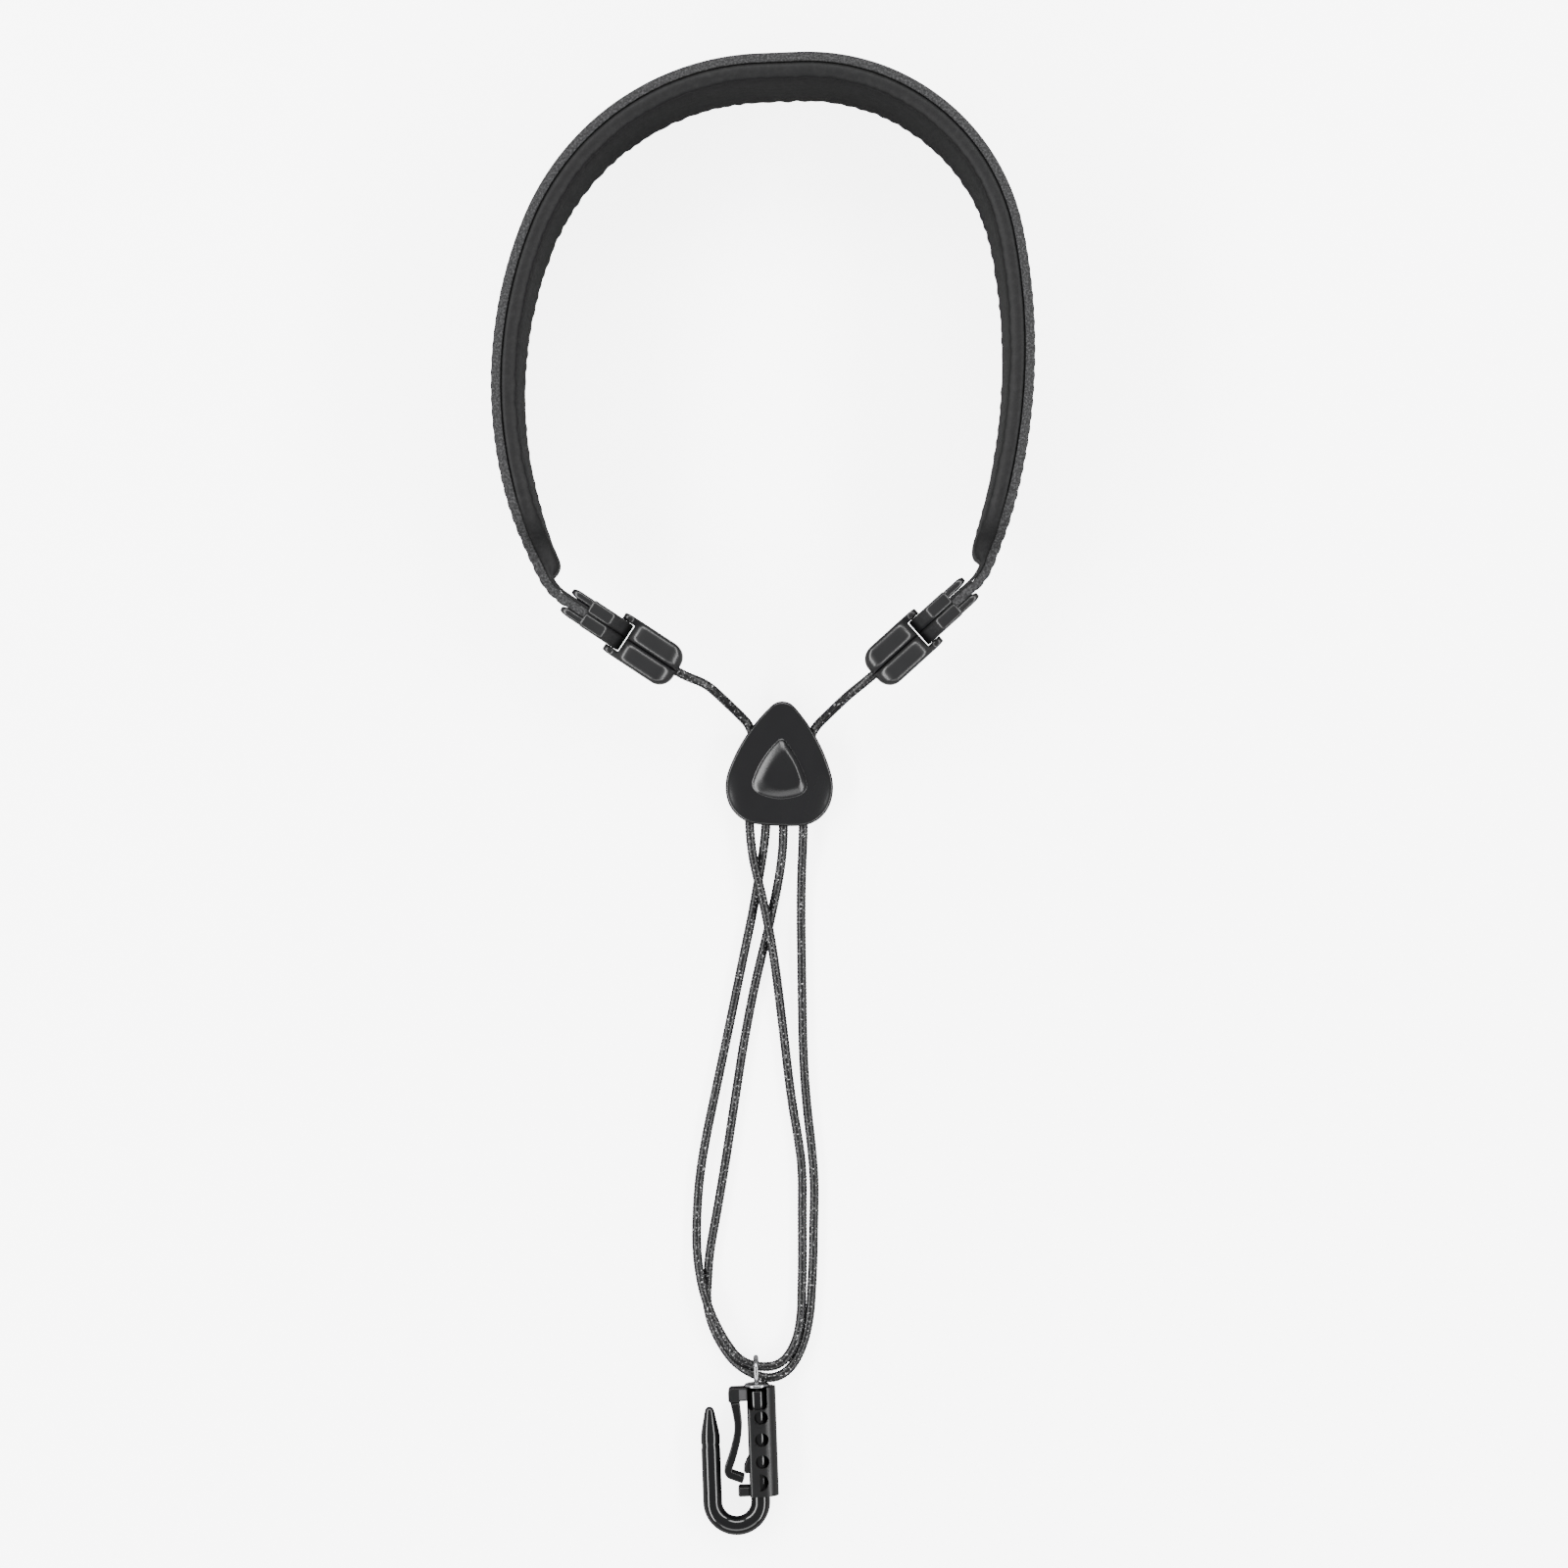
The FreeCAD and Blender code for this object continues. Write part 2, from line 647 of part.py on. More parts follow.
def shortened(points, gap):
    """The route with a little taken off each end, so that stretches don't press on each other."""
    points = [Vector(*p) for p in points]
    for end, following in ((0, 1), (-1, -2)):
        ahead = (points[following] - points[end]).normalize()
        points[end] = points[end] + ahead * gap
    return points


def tube(points, diameter):
    """A round tube along a route, with the radii of its bends and its length."""
    edges, radii = route_edges(points)
    path = Part.Wire(edges)
    start = Vector(*points[0])
    section = Part.Wire(Part.Circle(start, Vector(*points[1]) - start, diameter / 2).toShape())
    solid = path.makePipeShell([section], True, False)
    expected = pi * diameter**2 / 4 * path.Length
    if abs(solid.Volume / expected - 1) > 0.01:
        raise RuntimeError(f"a cord tube's volume is {solid.Volume:.1f}, not {expected:.1f}")
    return solid, radii, path.Length


def cord_piece(label, *stretches):
    """A node of one or more stretches of the cord."""
    solids = []
    for stretch in stretches:
        route = shortened(CORD_ROUTE[stretch], size("cord_joint_gap"))
        solid, radii, length = tube(route, size("cord_dia"))
        print(f"{stretch}: length {length:.1f} mm, radii " + " ".join(f"{r:.1f}" for r in radii))
        solids.append(solid)
    feature = doc.addObject("Part::Feature", label)
    feature.Shape = solids[0] if len(solids) == 1 else Part.makeCompound(solids)
    return node(feature, label)


for label in ("left_cord_end", "left_cord", "cord_run_left", "cord_middle_loop", "cord_run_right",
              "right_cord", "right_cord_end"):
    cord_piece(label, label)
cord_piece("cord_bight", "bight_inner", "bight_outer")

# ------------------------------------------------------------------ slider

# Right half of the slider's outline from its tip to the middle of its lower edge.
SLIDER_ARCS = [(5.4, 45.5), (56.2, 26.85), (16.0, 33.5), (11.5, 68.9)]
slider_frame = Placement(
    Vector(size("slider_x"), size("slider_y"), size("slider_z")),
    Rotation(Z_AXIS, size("slider_tilt")),
)


def slider_outline():
    """Both halves of the slider's outline. A last arc brings each to the middle line, level."""
    start = Vector(0, size("slider_tip_y"), 0)
    runs = [(radius * radians(turn), turn) for radius, turn in SLIDER_ARCS]
    side = Chain(start, 0.0, runs)
    left_over = 180 + side.end_heading
    runs.append((side.end.x / sin(radians(left_over)) * radians(left_over), left_over))
    half = Chain(start, 0.0, runs)
    edges = []
    for mirror in (1, -1):
        for first, length, _, _, _ in half.runs:
            ends = [half.point(first + length * t, 0) for t in (1e-9, 0.5, 1)]
            edges.append(arc(*[Vector(mirror * p.x, p.y, 0) for p in ends]))
    return edges


def bump_outline():
    """The raised triangle in the middle of the front, with its convex sides."""
    apex, corner, foot = Vector(0, 15.2, 0), Vector(9.6, -0.8, 0), Vector(8.0, -3.2, 0)
    edges = []
    for mirror in (1, -1):
        def flip(x, y):
            return Vector(mirror * x, y, 0)

        edges.append(arc(apex, flip(6.5, 8.4), flip(corner.x, corner.y)))
        edges.append(arc(flip(corner.x, corner.y), flip(9.5, -2.3), flip(foot.x, foot.y)))
    edges.append(arc(foot, Vector(0, -5.0, 0), Vector(-foot.x, foot.y, 0)))
    return edges


channels = doc.addObject("Part::Feature", "CordChannels")
in_slider = [
    CORD_ROUTE["left_cord"] + CORD_ROUTE["cord_run_left"][1:4],
    CORD_ROUTE["cord_middle_loop"][12:22],
    CORD_ROUTE["cord_run_right"][-3:] + CORD_ROUTE["right_cord"][1:],
]
channels.Shape = Part.makeCompound([tube(route, size("cord_hole_dia"))[0] for route in in_slider])


def slider_shell(name, front):
    """One shell of the slider, with its half of the cord's channels."""
    body = new_body(name)
    pad(body, add_sketch(body, "XY", slider_outline()), "@slider_shell", reverse=not front)
    face_z = size("slider_shell") * (1 if front else -1)
    round_edges(body, "@slider_rim_round", lambda edge: abs(edge.CenterOfMass.z - face_z) < 1e-3)
    if front:
        pad(body, add_sketch(body, "XY", bump_outline(), size("slider_shell") - 0.5), "@slider_bump + 0.5", taper=-30)
    body.Placement = slider_frame
    return cut(name, body, channels)


node(slider_shell("SliderFront", True), "slider_front_shell")
node(slider_shell("SliderBack", False), "slider_back_shell")

# ------------------------------------------------------------------ swivel eye and hook

hook_frame = Placement(
    Vector(size("hook_x"), size("hook_y"), size("hook_z")),
    Rotation(Z_AXIS, size("hook_tilt")),
)
DOWN = Vector(0, -1, 0)


def hung(thing, label):
    """Places a finished piece of the hook in the strap's frame."""
    thing.Placement = hook_frame.multiply(thing.Placement)
    return node(thing, label)


def upright(name, radius, top, length, x=0.0):
    """A cylinder on the hook's axis, or beside it, that runs down from top."""
    return cylinder(name, radius, length, Vector(x, -top, 0), DOWN)


def wire_loop(name, centre_radius, wire_radius, angle=360, x=0.0, y=0.0, turn=None):
    loop = doc.addObject("Part::Torus", name)
    loop.setExpression("Radius1", cell(centre_radius))
    loop.setExpression("Radius2", cell(wire_radius))
    loop.Angle3 = angle
    loop.Placement = Placement(Vector(x, y, 0), turn or Rotation())
    return loop


eye = fuse(
    "SwivelEye",
    wire_loop("EyeLoop", "@eye_dia / 2", "@eye_wire_dia / 2", turn=Rotation(Y_AXIS, 90)),
    upright("EyeShank", "@eye_shank_dia / 2", size("eye_dia") / 2, "@eye_shank_end - @eye_dia / 2"),
    upright("EyeHead", "@eye_head_dia / 2", size("eye_shank_end"), "@eye_head_height"),
)
hung(eye, "swivel_eye")

collar = cut(
    "Collar",
    upright("CollarDisc", "@collar_dia / 2", size("collar_top"), "@collar_height"),
    upright("CollarHole", "@eye_shank_dia / 2 + 0.02", size("collar_top") - 1, "@collar_height + 2"),
)
eye_inside = wire_loop("EyeRoom", "@eye_dia / 2", "@eye_wire_dia / 2 + 0.15", turn=Rotation(Y_AXIS, 90))
hung(cut("CollarSeat", collar, eye_inside), "swivel_collar")


def hook_bar(name, diameter, top, free_end):
    """A round bar bent to a J: the shank, the half turn and the free leg."""
    spacing, bend_y = size("hook_spacing"), size("bend_y")
    half = f"{diameter} / 2"
    shank = upright(name + "Shank", half, top, f"{-bend_y - top}")
    leg = upright(name + "Leg", half, -free_end, f"{free_end - bend_y}", -spacing)
    bend = wire_loop(name + "Bend", "@hook_spacing / 2", half, 180, -spacing / 2, bend_y, Rotation(Z_AXIS, 180))
    return [shank, leg, bend]


tip = doc.addObject("Part::Cone", "Tip")
tip.setExpression("Radius1", cell("@rod_dia / 2"))
tip.setExpression("Radius2", cell("@tip_end_dia / 2"))
tip.setExpression("Height", cell("@tip_length"))
tip.Placement = Placement(Vector(-size("hook_spacing"), size("tip_base_y"), 0), Rotation(Z_AXIS, Y_AXIS))
tip_ball = doc.addObject("Part::Sphere", "TipEnd")
tip_ball.setExpression("Radius", cell("@tip_end_dia / 2 + 0.1"))
tip_ball.Placement.Base = Vector(-size("hook_spacing"), size("tip_base_y") + size("tip_length") - 0.2, 0)
groove = cut(
    "TipGroove",
    upright("GrooveOuter", "@rod_dia", -size("tip_base_y"), "@tip_groove_width", -size("hook_spacing")),
    upright("GrooveInner", "@rod_dia / 2 - @tip_groove_depth", -size("tip_base_y") - 1,
            "@tip_groove_width + 2", -size("hook_spacing")),
)
core = fuse("Core", *hook_bar("Core", "@core_dia", size("core_top"), size("tip_base_y")))
shank_room = [
    upright("ShankRoom", "@eye_shank_dia / 2 + @swivel_clearance", size("rod_top") - 1, "@eye_shank_end - @rod_top + 1.5"),
    upright("HeadRoom", "@eye_head_dia / 2 + @swivel_clearance", size("eye_shank_end") - 0.1, "@eye_head_height + 0.3"),
]
jacket = fuse("Rod", *hook_bar("Rod", "@rod_dia", size("rod_top"), size("tip_base_y")), tip, tip_ball)
hung(cut("Jacket", jacket, groove, core, *shank_room), "hook_rod")
core_shape = doc.addObject("Part::Feature", "HookCore")
core_shape.Shape = core.Shape
hung(core_shape, "hook_core")


def sleeve_section():
    """Cross-section of the sleeve: flat on the latch's side, round on the other."""
    left, mid, radius = size("sleeve_left_x"), size("sleeve_round_x"), size("sleeve_radius")
    corner = 1.2
    edges = [arc(Vector(mid, radius, 0), Vector(mid + radius, 0, 0), Vector(mid, -radius, 0))]
    edges.append(corner_arc(Vector(left + corner, radius - corner, 0), corner, 90, 180))
    edges.append(corner_arc(Vector(left + corner, corner - radius, 0), corner, 180, 270))
    edges.append(straight(Vector(left, radius - corner, 0), Vector(left, corner - radius, 0)))
    for mirror in (1, -1):
        edges.append(straight(Vector(left + corner, mirror * radius, 0), Vector(mid, mirror * radius, 0)))
    return edges


def sleeve_openings():
    """Seen from the front: the notch at the top, three round holes and a half-round window."""
    top, half = -size("sleeve_top"), size("sleeve_notch_half_width")
    low = top - size("sleeve_notch_depth")
    corner = 1.5
    outline = [Vector(-half, low + corner, 0), Vector(-half, top + 1, 0), Vector(half, top + 1, 0),
               Vector(half, low + corner, 0)]
    edges = [straight(a, b) for a, b in zip(outline, outline[1:])]
    edges.append(corner_arc(Vector(half - corner, low + corner, 0), corner, 0, -90))
    edges.append(straight(Vector(half - corner, low, 0), Vector(corner - half, low, 0)))
    edges.append(corner_arc(Vector(corner - half, low + corner, 0), corner, -90, -180))
    for i in range(3):
        hole_y = -size("sleeve_first_hole") - i * size("sleeve_hole_pitch")
        edges.append(circle(size("sleeve_hole_x"), hole_y, size("sleeve_hole_dia") / 2))
    window, radius = size("sleeve_window_y"), size("sleeve_window_dia") / 2
    edges.append(arc(Vector(0, window + radius, 0), Vector(radius, window, 0), Vector(0, window - radius, 0)))
    edges.append(straight(Vector(0, window - radius, 0), Vector(0, window + radius, 0)))
    return edges


sleeve_body = new_body("SleeveBody")
pad(sleeve_body, add_sketch(sleeve_body, "XZ", sleeve_section(), size("sleeve_top")), "@sleeve_length")
pocket(sleeve_body, add_sketch(sleeve_body, "XY", sleeve_openings()), "@sleeve_radius + 1", reverse=True)


def latch_ears():
    """Seen from the front: the ears that carry the latch's pin, rounded about it."""
    pivot = Vector(size("latch_pivot_x"), size("latch_pivot_y"), 0)
    radius, wall = size("latch_ear_radius"), size("sleeve_left_x") + 0.2
    top, low = pivot + Vector(0, radius, 0), pivot - Vector(0, radius, 0)
    edges = [arc(top, pivot - Vector(radius, 0, 0), low)]
    edges.append(straight(top, Vector(wall, top.y, 0)))
    edges.append(straight(Vector(wall, top.y, 0), Vector(wall, low.y, 0)))
    edges.append(straight(Vector(wall, low.y, 0), low))
    return edges


def rectangle(x0, x1, y0, y1):
    return closed_polygon([Vector(x0, y0, 0), Vector(x1, y0, 0), Vector(x1, y1, 0), Vector(x0, y1, 0)])


pivot_x, pivot_y = size("latch_pivot_x"), size("latch_pivot_y")
lip = rectangle(-7.4, size("sleeve_left_x") + 0.2, -41.5, -38.3)
wall = size("sleeve_left_x") + 0.2
flare = closed_polygon([Vector(wall, -28.0, 0), Vector(-5.2, -31.6, 0), Vector(-5.3, -33.1, 0),
                        Vector(-4.7, -33.7, 0), Vector(wall, -33.7, 0)])
root_slot = rectangle(pivot_x - 3, size("latch_slot_x"), pivot_y - 3, pivot_y + 3)
pin_hole = [circle(pivot_x, pivot_y, size("latch_pin_dia") / 2)]
pad(sleeve_body, add_sketch(sleeve_body, "XY", latch_ears()), "2 * @latch_half_width", symmetric=True)
pad(sleeve_body, add_sketch(sleeve_body, "XY", lip), "2 * @latch_half_width", symmetric=True)
pad(sleeve_body, add_sketch(sleeve_body, "XY", flare), "2 * @latch_half_width", symmetric=True)
pocket(sleeve_body, add_sketch(sleeve_body, "XY", root_slot), "2 * @latch_root_half_width + 0.2", symmetric=True)
pocket(sleeve_body, add_sketch(sleeve_body, "XY", pin_hole), "2 * @latch_half_width + 2", symmetric=True)
rod_room = upright("RodRoom", "@rod_dia / 2 + 0.02", size("sleeve_top") - 1, "@sleeve_length + 2")
hung(cut("Sleeve", sleeve_body, rod_room), "latch_sleeve")

# The latch arm's middle line: down from its pin in a shallow S, then round to its toe.
LATCH_RUNS = [(8.3, 0.0), (6.5, 18.0), (10.4, 10.0), (2.8, -92.0), (4.3, 0.0)]
latch_line = Chain(Vector(pivot_x, pivot_y, 0), -85.0, LATCH_RUNS)
half_arm = size("latch_thickness") / 2
root = [circle(pivot_x, pivot_y, size("latch_knuckle_radius"))]
neck = latch_line.strip(-half_arm, half_arm, 0, size("latch_root_length") + 1)
arm = latch_line.strip(-half_arm, half_arm, size("latch_root_length"), latch_line.length)
bore = [circle(pivot_x, pivot_y, size("latch_pin_dia") / 2 + size("latch_pin_clearance"))]
latch_body = new_body("LatchArm")
pad(latch_body, add_sketch(latch_body, "XY", arm), "2 * @latch_half_width", symmetric=True)
pad(latch_body, add_sketch(latch_body, "XY", neck), "2 * @latch_root_half_width", symmetric=True)
pad(latch_body, add_sketch(latch_body, "XY", root), "2 * @latch_root_half_width", symmetric=True)
pocket(latch_body, add_sketch(latch_body, "XY", bore), "2 * @latch_half_width", symmetric=True)
hung(latch_body, "latch_arm")
latch_pin = cylinder(
    "LatchPin",
    "@latch_pin_dia / 2",
    "2 * @latch_half_width",
    Vector(pivot_x, pivot_y, -size("latch_half_width")),
    Z_AXIS,
)
hung(latch_pin, "latch_pin")

# ------------------------------------------------------------------ checks and files

doc.recompute()
for thing in doc.Objects:
    failed = {"Invalid", "Error"} & set(thing.State)
    if failed:
        raise RuntimeError(f"{thing.Name} ({thing.Label}) is {failed}")
for thing in nodes:
    shape = thing.Shape
    if shape.isNull() or not shape.isValid() or not shape.Solids:
        raise RuntimeError(f"{thing.Label} has no valid solid")
for thing in nodes:
    thing.Shape.exportStep(f"parts/{thing.Label}.step")
    box = thing.Shape.BoundBox
    print(f"{thing.Label}: {len(thing.Shape.Solids)} solid(s), volume {thing.Shape.Volume:.1f}, "
          f"x {box.XMin:.2f} {box.XMax:.2f}, y {box.YMin:.2f} {box.YMax:.2f}, z {box.ZMin:.2f} {box.ZMax:.2f}")
print(f"{len(nodes)} nodes, band outer length {band.length:.1f} mm")
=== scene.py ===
from math import atan2, cos, degrees, exp, hypot, pi, radians, sin, sqrt, tan

import bmesh
import bpy
from mathutils import Matrix, Vector, noise


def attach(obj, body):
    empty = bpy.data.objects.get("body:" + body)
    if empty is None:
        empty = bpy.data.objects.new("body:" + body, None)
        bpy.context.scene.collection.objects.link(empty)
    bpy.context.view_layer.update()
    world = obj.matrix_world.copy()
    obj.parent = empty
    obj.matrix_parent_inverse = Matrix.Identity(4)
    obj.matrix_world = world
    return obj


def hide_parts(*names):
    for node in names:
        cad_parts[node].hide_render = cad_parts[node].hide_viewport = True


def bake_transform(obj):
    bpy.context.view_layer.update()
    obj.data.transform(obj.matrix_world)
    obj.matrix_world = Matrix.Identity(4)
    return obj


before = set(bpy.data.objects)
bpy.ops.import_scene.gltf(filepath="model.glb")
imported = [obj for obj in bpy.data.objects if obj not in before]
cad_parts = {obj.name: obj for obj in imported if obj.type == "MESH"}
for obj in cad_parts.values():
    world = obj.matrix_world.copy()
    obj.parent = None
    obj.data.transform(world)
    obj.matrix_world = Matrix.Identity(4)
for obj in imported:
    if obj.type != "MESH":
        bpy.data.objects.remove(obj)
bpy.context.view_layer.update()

MM = 0.001
scene = bpy.context.scene

# ------------------------------------------------------------------ camera

camera = bpy.data.objects.new("Camera", bpy.data.cameras.new("Camera"))
camera.location = (0.0068, 0.00675, 1.35)
camera.data.sensor_width = 36.0
camera.data.lens = 92.0
scene.collection.objects.link(camera)
scene.camera = camera

# ------------------------------------------------------------------ materials


def link(tree, source, target):
    """Joins two sockets of a material's tree."""
    tree.links.new(source, target)


def add_node(tree, kind, **values):
    """A node of this kind, with its inputs or its own settings given by name."""
    node = tree.nodes.new(kind)
    for key, value in values.items():
        if key in node.inputs:
            node.inputs[key].default_value = value
        else:
            setattr(node, key, value)
    return node


def material(name, colour, roughness, metallic=0.0, specular=0.5, specks_and_glints=None, bumps=(), rough_vary=0.0):
    """A principled material. The specks are (second colour, scale, low, high): real specks on the cut
    edge and lining, painted highlights on the cord. Each bump is (scale, strength, distance in mm), and
    rough_vary is how far the roughness strays either way."""
    made = bpy.data.materials.new(name)
    made.use_nodes = True
    tree = made.node_tree
    shader = tree.nodes["Principled BSDF"]
    shader.inputs["Base Color"].default_value = (*colour, 1)
    shader.inputs["Roughness"].default_value = roughness
    shader.inputs["Metallic"].default_value = metallic
    shader.inputs["Specular IOR Level"].default_value = specular
    where = add_node(tree, "ShaderNodeTexCoord")
    # Specks in a second colour: real on the cut edge and lining, painted highlights on the cord.
    if specks_and_glints:
        second, scale, low, high = specks_and_glints
        grain = add_node(tree, "ShaderNodeTexNoise", Scale=scale, Detail=6.0, Roughness=0.7)
        ramp = add_node(tree, "ShaderNodeMapRange")
        ramp.inputs["From Min"].default_value = low
        ramp.inputs["From Max"].default_value = high
        mix = add_node(tree, "ShaderNodeMix", data_type="RGBA")
        mix.inputs[6].default_value = (*colour, 1)
        mix.inputs[7].default_value = (*second, 1)
        link(tree, where.outputs["Object"], grain.inputs["Vector"])
        link(tree, grain.outputs["Fac"], ramp.inputs["Value"])
        link(tree, ramp.outputs["Result"], mix.inputs[0])
        link(tree, mix.outputs[2], shader.inputs["Base Color"])
    if rough_vary:
        smear = add_node(tree, "ShaderNodeTexNoise", Scale=120.0, Detail=4.0)
        spread = add_node(tree, "ShaderNodeMapRange")
        spread.inputs["To Min"].default_value = roughness - rough_vary
        spread.inputs["To Max"].default_value = roughness + rough_vary
        link(tree, where.outputs["Object"], smear.inputs["Vector"])
        link(tree, smear.outputs["Fac"], spread.inputs["Value"])
        link(tree, spread.outputs["Result"], shader.inputs["Roughness"])
    last = None
    for scale, strength, distance in bumps:
        grain = add_node(tree, "ShaderNodeTexNoise", Scale=scale, Detail=5.0, Roughness=0.6)
        bump = add_node(tree, "ShaderNodeBump", Strength=strength, Distance=distance * MM)
        link(tree, where.outputs["Object"], grain.inputs["Vector"])
        link(tree, grain.outputs["Fac"], bump.inputs["Height"])
        if last:
            link(tree, last.outputs["Normal"], bump.inputs["Normal"])
        last = bump
    if last:
        link(tree, last.outputs["Normal"], shader.inputs["Normal"])
    return made


LEATHER = material(
    "Leather", (0.006, 0.006, 0.0065), 0.52, specular=0.3,
    bumps=((900, 0.5, 0.25), (2600, 0.3, 0.1)),
)
CUT_EDGE = material(
    "CutEdge", (0.012, 0.012, 0.0125), 0.9, specular=0.3,
    specks_and_glints=((0.07, 0.07, 0.072), 1500.0, 0.46, 0.7), bumps=((1800, 0.8, 0.3),),
)
LINING = material(
    "Lining", (0.0025, 0.0025, 0.0028), 0.6, specular=0.25,
    specks_and_glints=((0.007, 0.007, 0.0073), 500.0, 0.45, 0.7), bumps=((220, 0.35, 0.5), (1500, 0.35, 0.15)),
)
THREAD = material("Thread", (0.012, 0.012, 0.013), 0.6)
CLIP = material(
    "ClipPlastic", (0.008, 0.008, 0.0085), 0.3, specular=0.5,
    bumps=((2200, 0.12, 0.06),), rough_vary=0.05,
)
SLIDER = material(
    "SliderPlastic", (0.005, 0.005, 0.0055), 0.26, specular=0.45,
    bumps=((90, 0.1, 0.35),), rough_vary=0.05,
)
HOOK = material(
    "HookPlastic", (0.003, 0.003, 0.0033), 0.13, specular=0.5,
    bumps=((160, 0.08, 0.25),), rough_vary=0.04,
)
# A lighter grey for the latch's bridge: a painted highlight, where the satin plastic catches the light.
PAINTED_HIGHLIGHT_PLASTIC = material("BridgePaintedHighlight", (0.035, 0.035, 0.037), 0.5)
SLEEVE = material(
    "SleevePlastic", (0.004, 0.004, 0.0043), 0.36, specular=0.36,
    bumps=((160, 0.1, 0.3),), rough_vary=0.06,
)
STEEL = material("Steel", (0.34, 0.34, 0.35), 0.2, metallic=1.0)
# The cord's light specks are painted highlights on its braid, over its black colour.
CORD = material(
    "Cord", (0.004, 0.004, 0.0045), 0.33, specular=0.35,
    specks_and_glints=((0.7, 0.7, 0.71), 1400.0, 0.6, 0.66), bumps=((2500, 0.4, 0.12),),
)

# ------------------------------------------------------------------ mesh helpers


def add_object(name, mesh, *materials):
    """An object for a mesh, with these materials in its slots."""
    made = bpy.data.objects.new(name.replace(" ", "_"), mesh)
    scene.collection.objects.link(made)
    for finish in materials:
        mesh.materials.append(finish)
    return made


def ring_mesh(name, rings, materials, capped=True, face_slots=None):
    """A smooth skin over closed rings of equal count, in mm. face_slots picks the material of
    each quad from its place round the ring."""
    count = len(rings[0])
    verts = [[c * MM for c in p] for ring in rings for p in ring]
    faces, slots = [], []
    for i in range(len(rings) - 1):
        for j in range(count):
            k = (j + 1) % count
            faces.append((i * count + j, i * count + k, (i + 1) * count + k, (i + 1) * count + j))
            slots.append(face_slots[j] if face_slots else 0)
    if capped:
        faces.append(tuple(reversed(range(count))))
        faces.append(tuple(range((len(rings) - 1) * count, len(rings) * count)))
        slots += [0, 0]
    mesh = bpy.data.meshes.new(name)
    mesh.from_pydata(verts, [], faces)
    mesh.polygons.foreach_set("use_smooth", [True] * len(faces))
    mesh.polygons.foreach_set("material_index", slots)
    work = bmesh.new()
    work.from_mesh(mesh)
    bmesh.ops.recalc_face_normals(work, faces=work.faces)
    work.to_mesh(mesh)
    work.free()
    return add_object(name, mesh, *materials)


def frames_along(points):
    """Two unit vectors across a path at each of its points, without twist."""
    side = None
    for i, point in enumerate(points):
        ahead = (points[min(i + 1, len(points) - 1)] - points[max(i - 1, 0)]).normalized()
        if side is None:
            side = ahead.cross(Vector((0, 0, 1)) if abs(ahead.z) < 0.9 else Vector((1, 0, 0)))
        side = (side - ahead * side.dot(ahead)).normalized()
        yield point, side, ahead.cross(side)


def round_angles(count):
    """Evenly spaced angles once round a circle."""
    return [2 * pi * i / count for i in range(count)]


def tube(name, points, radii, finish, sides):
    """A round tube in mm, with a radius for each point of its path."""
    rings = [
        [point + r * (a * cos(t) + b * sin(t)) for t in round_angles(sides)]
        for (point, a, b), r in zip(frames_along(points), radii)
    ]
    return ring_mesh(name, rings, [finish])


def rounded_box_ring(x, y0, y1, half_height, corner, steps=5):
    """A rounded rectangle across x, from y0 to y1 and half_height up and down."""
    corner = max(0.02, min(corner, (y1 - y0) / 2 - 0.01, half_height - 0.01))
    ring = []
    for cy, cz, start in (
        (y1 - corner, half_height - corner, 0),
        (y0 + corner, half_height - corner, 90),
        (y0 + corner, corner - half_height, 180),
        (y1 - corner, corner - half_height, 270),
    ):
        for i in range(steps + 1):
            a = radians(start + 90 * i / steps)
            ring.append(Vector((x, cy + corner * cos(a), cz + corner * sin(a))))
    return ring


def prism(name, outline, low, high, finish, bevel=0):
    """An outline in x and y, in mm, raised from low to high, with its edges rounded by bevel."""
    work = bmesh.new()
    base = [work.verts.new((x * MM, y * MM, low * MM)) for x, y in outline]
    face = work.faces.new(base)
    raised = bmesh.ops.extrude_face_region(work, geom=[face])["geom"]
    for vert in (g for g in raised if isinstance(g, bmesh.types.BMVert)):
        vert.co.z = high * MM
    bmesh.ops.recalc_face_normals(work, faces=work.faces)
    mesh = bpy.data.meshes.new(name)
    work.to_mesh(mesh)
    work.free()
    made = add_object(name, mesh, finish)
    if bevel:
        round_off(made, bevel)
    return made


def round_off(made, width):
    """Rounds the sharp edges of a piece, by a width in mm."""
    made.data.polygons.foreach_set("use_smooth", [True] * len(made.data.polygons))
    bevel = made.modifiers.new("Bevel", "BEVEL")
    bevel.width = width * MM
    bevel.segments = 3
    bevel.limit_method = "ANGLE"
    bevel.angle_limit = radians(40)
    bevel.harden_normals = True


def place(made, matrix, body, *nodes):
    """Puts a piece made in its own frame where it belongs, on its body, for its CAD nodes."""
    made.matrix_world = matrix @ made.matrix_world
    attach(made, body)
    if nodes:
        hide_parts(*nodes)
    return made


def flat_frame(x, y, z, heading):
    """The frame of a piece that lies flat: its origin in mm, and its heading in degrees."""
    return Matrix.Translation((x * MM, y * MM, z * MM)) @ Matrix.Rotation(radians(heading), 4, "Z")


# ------------------------------------------------------------------ cord

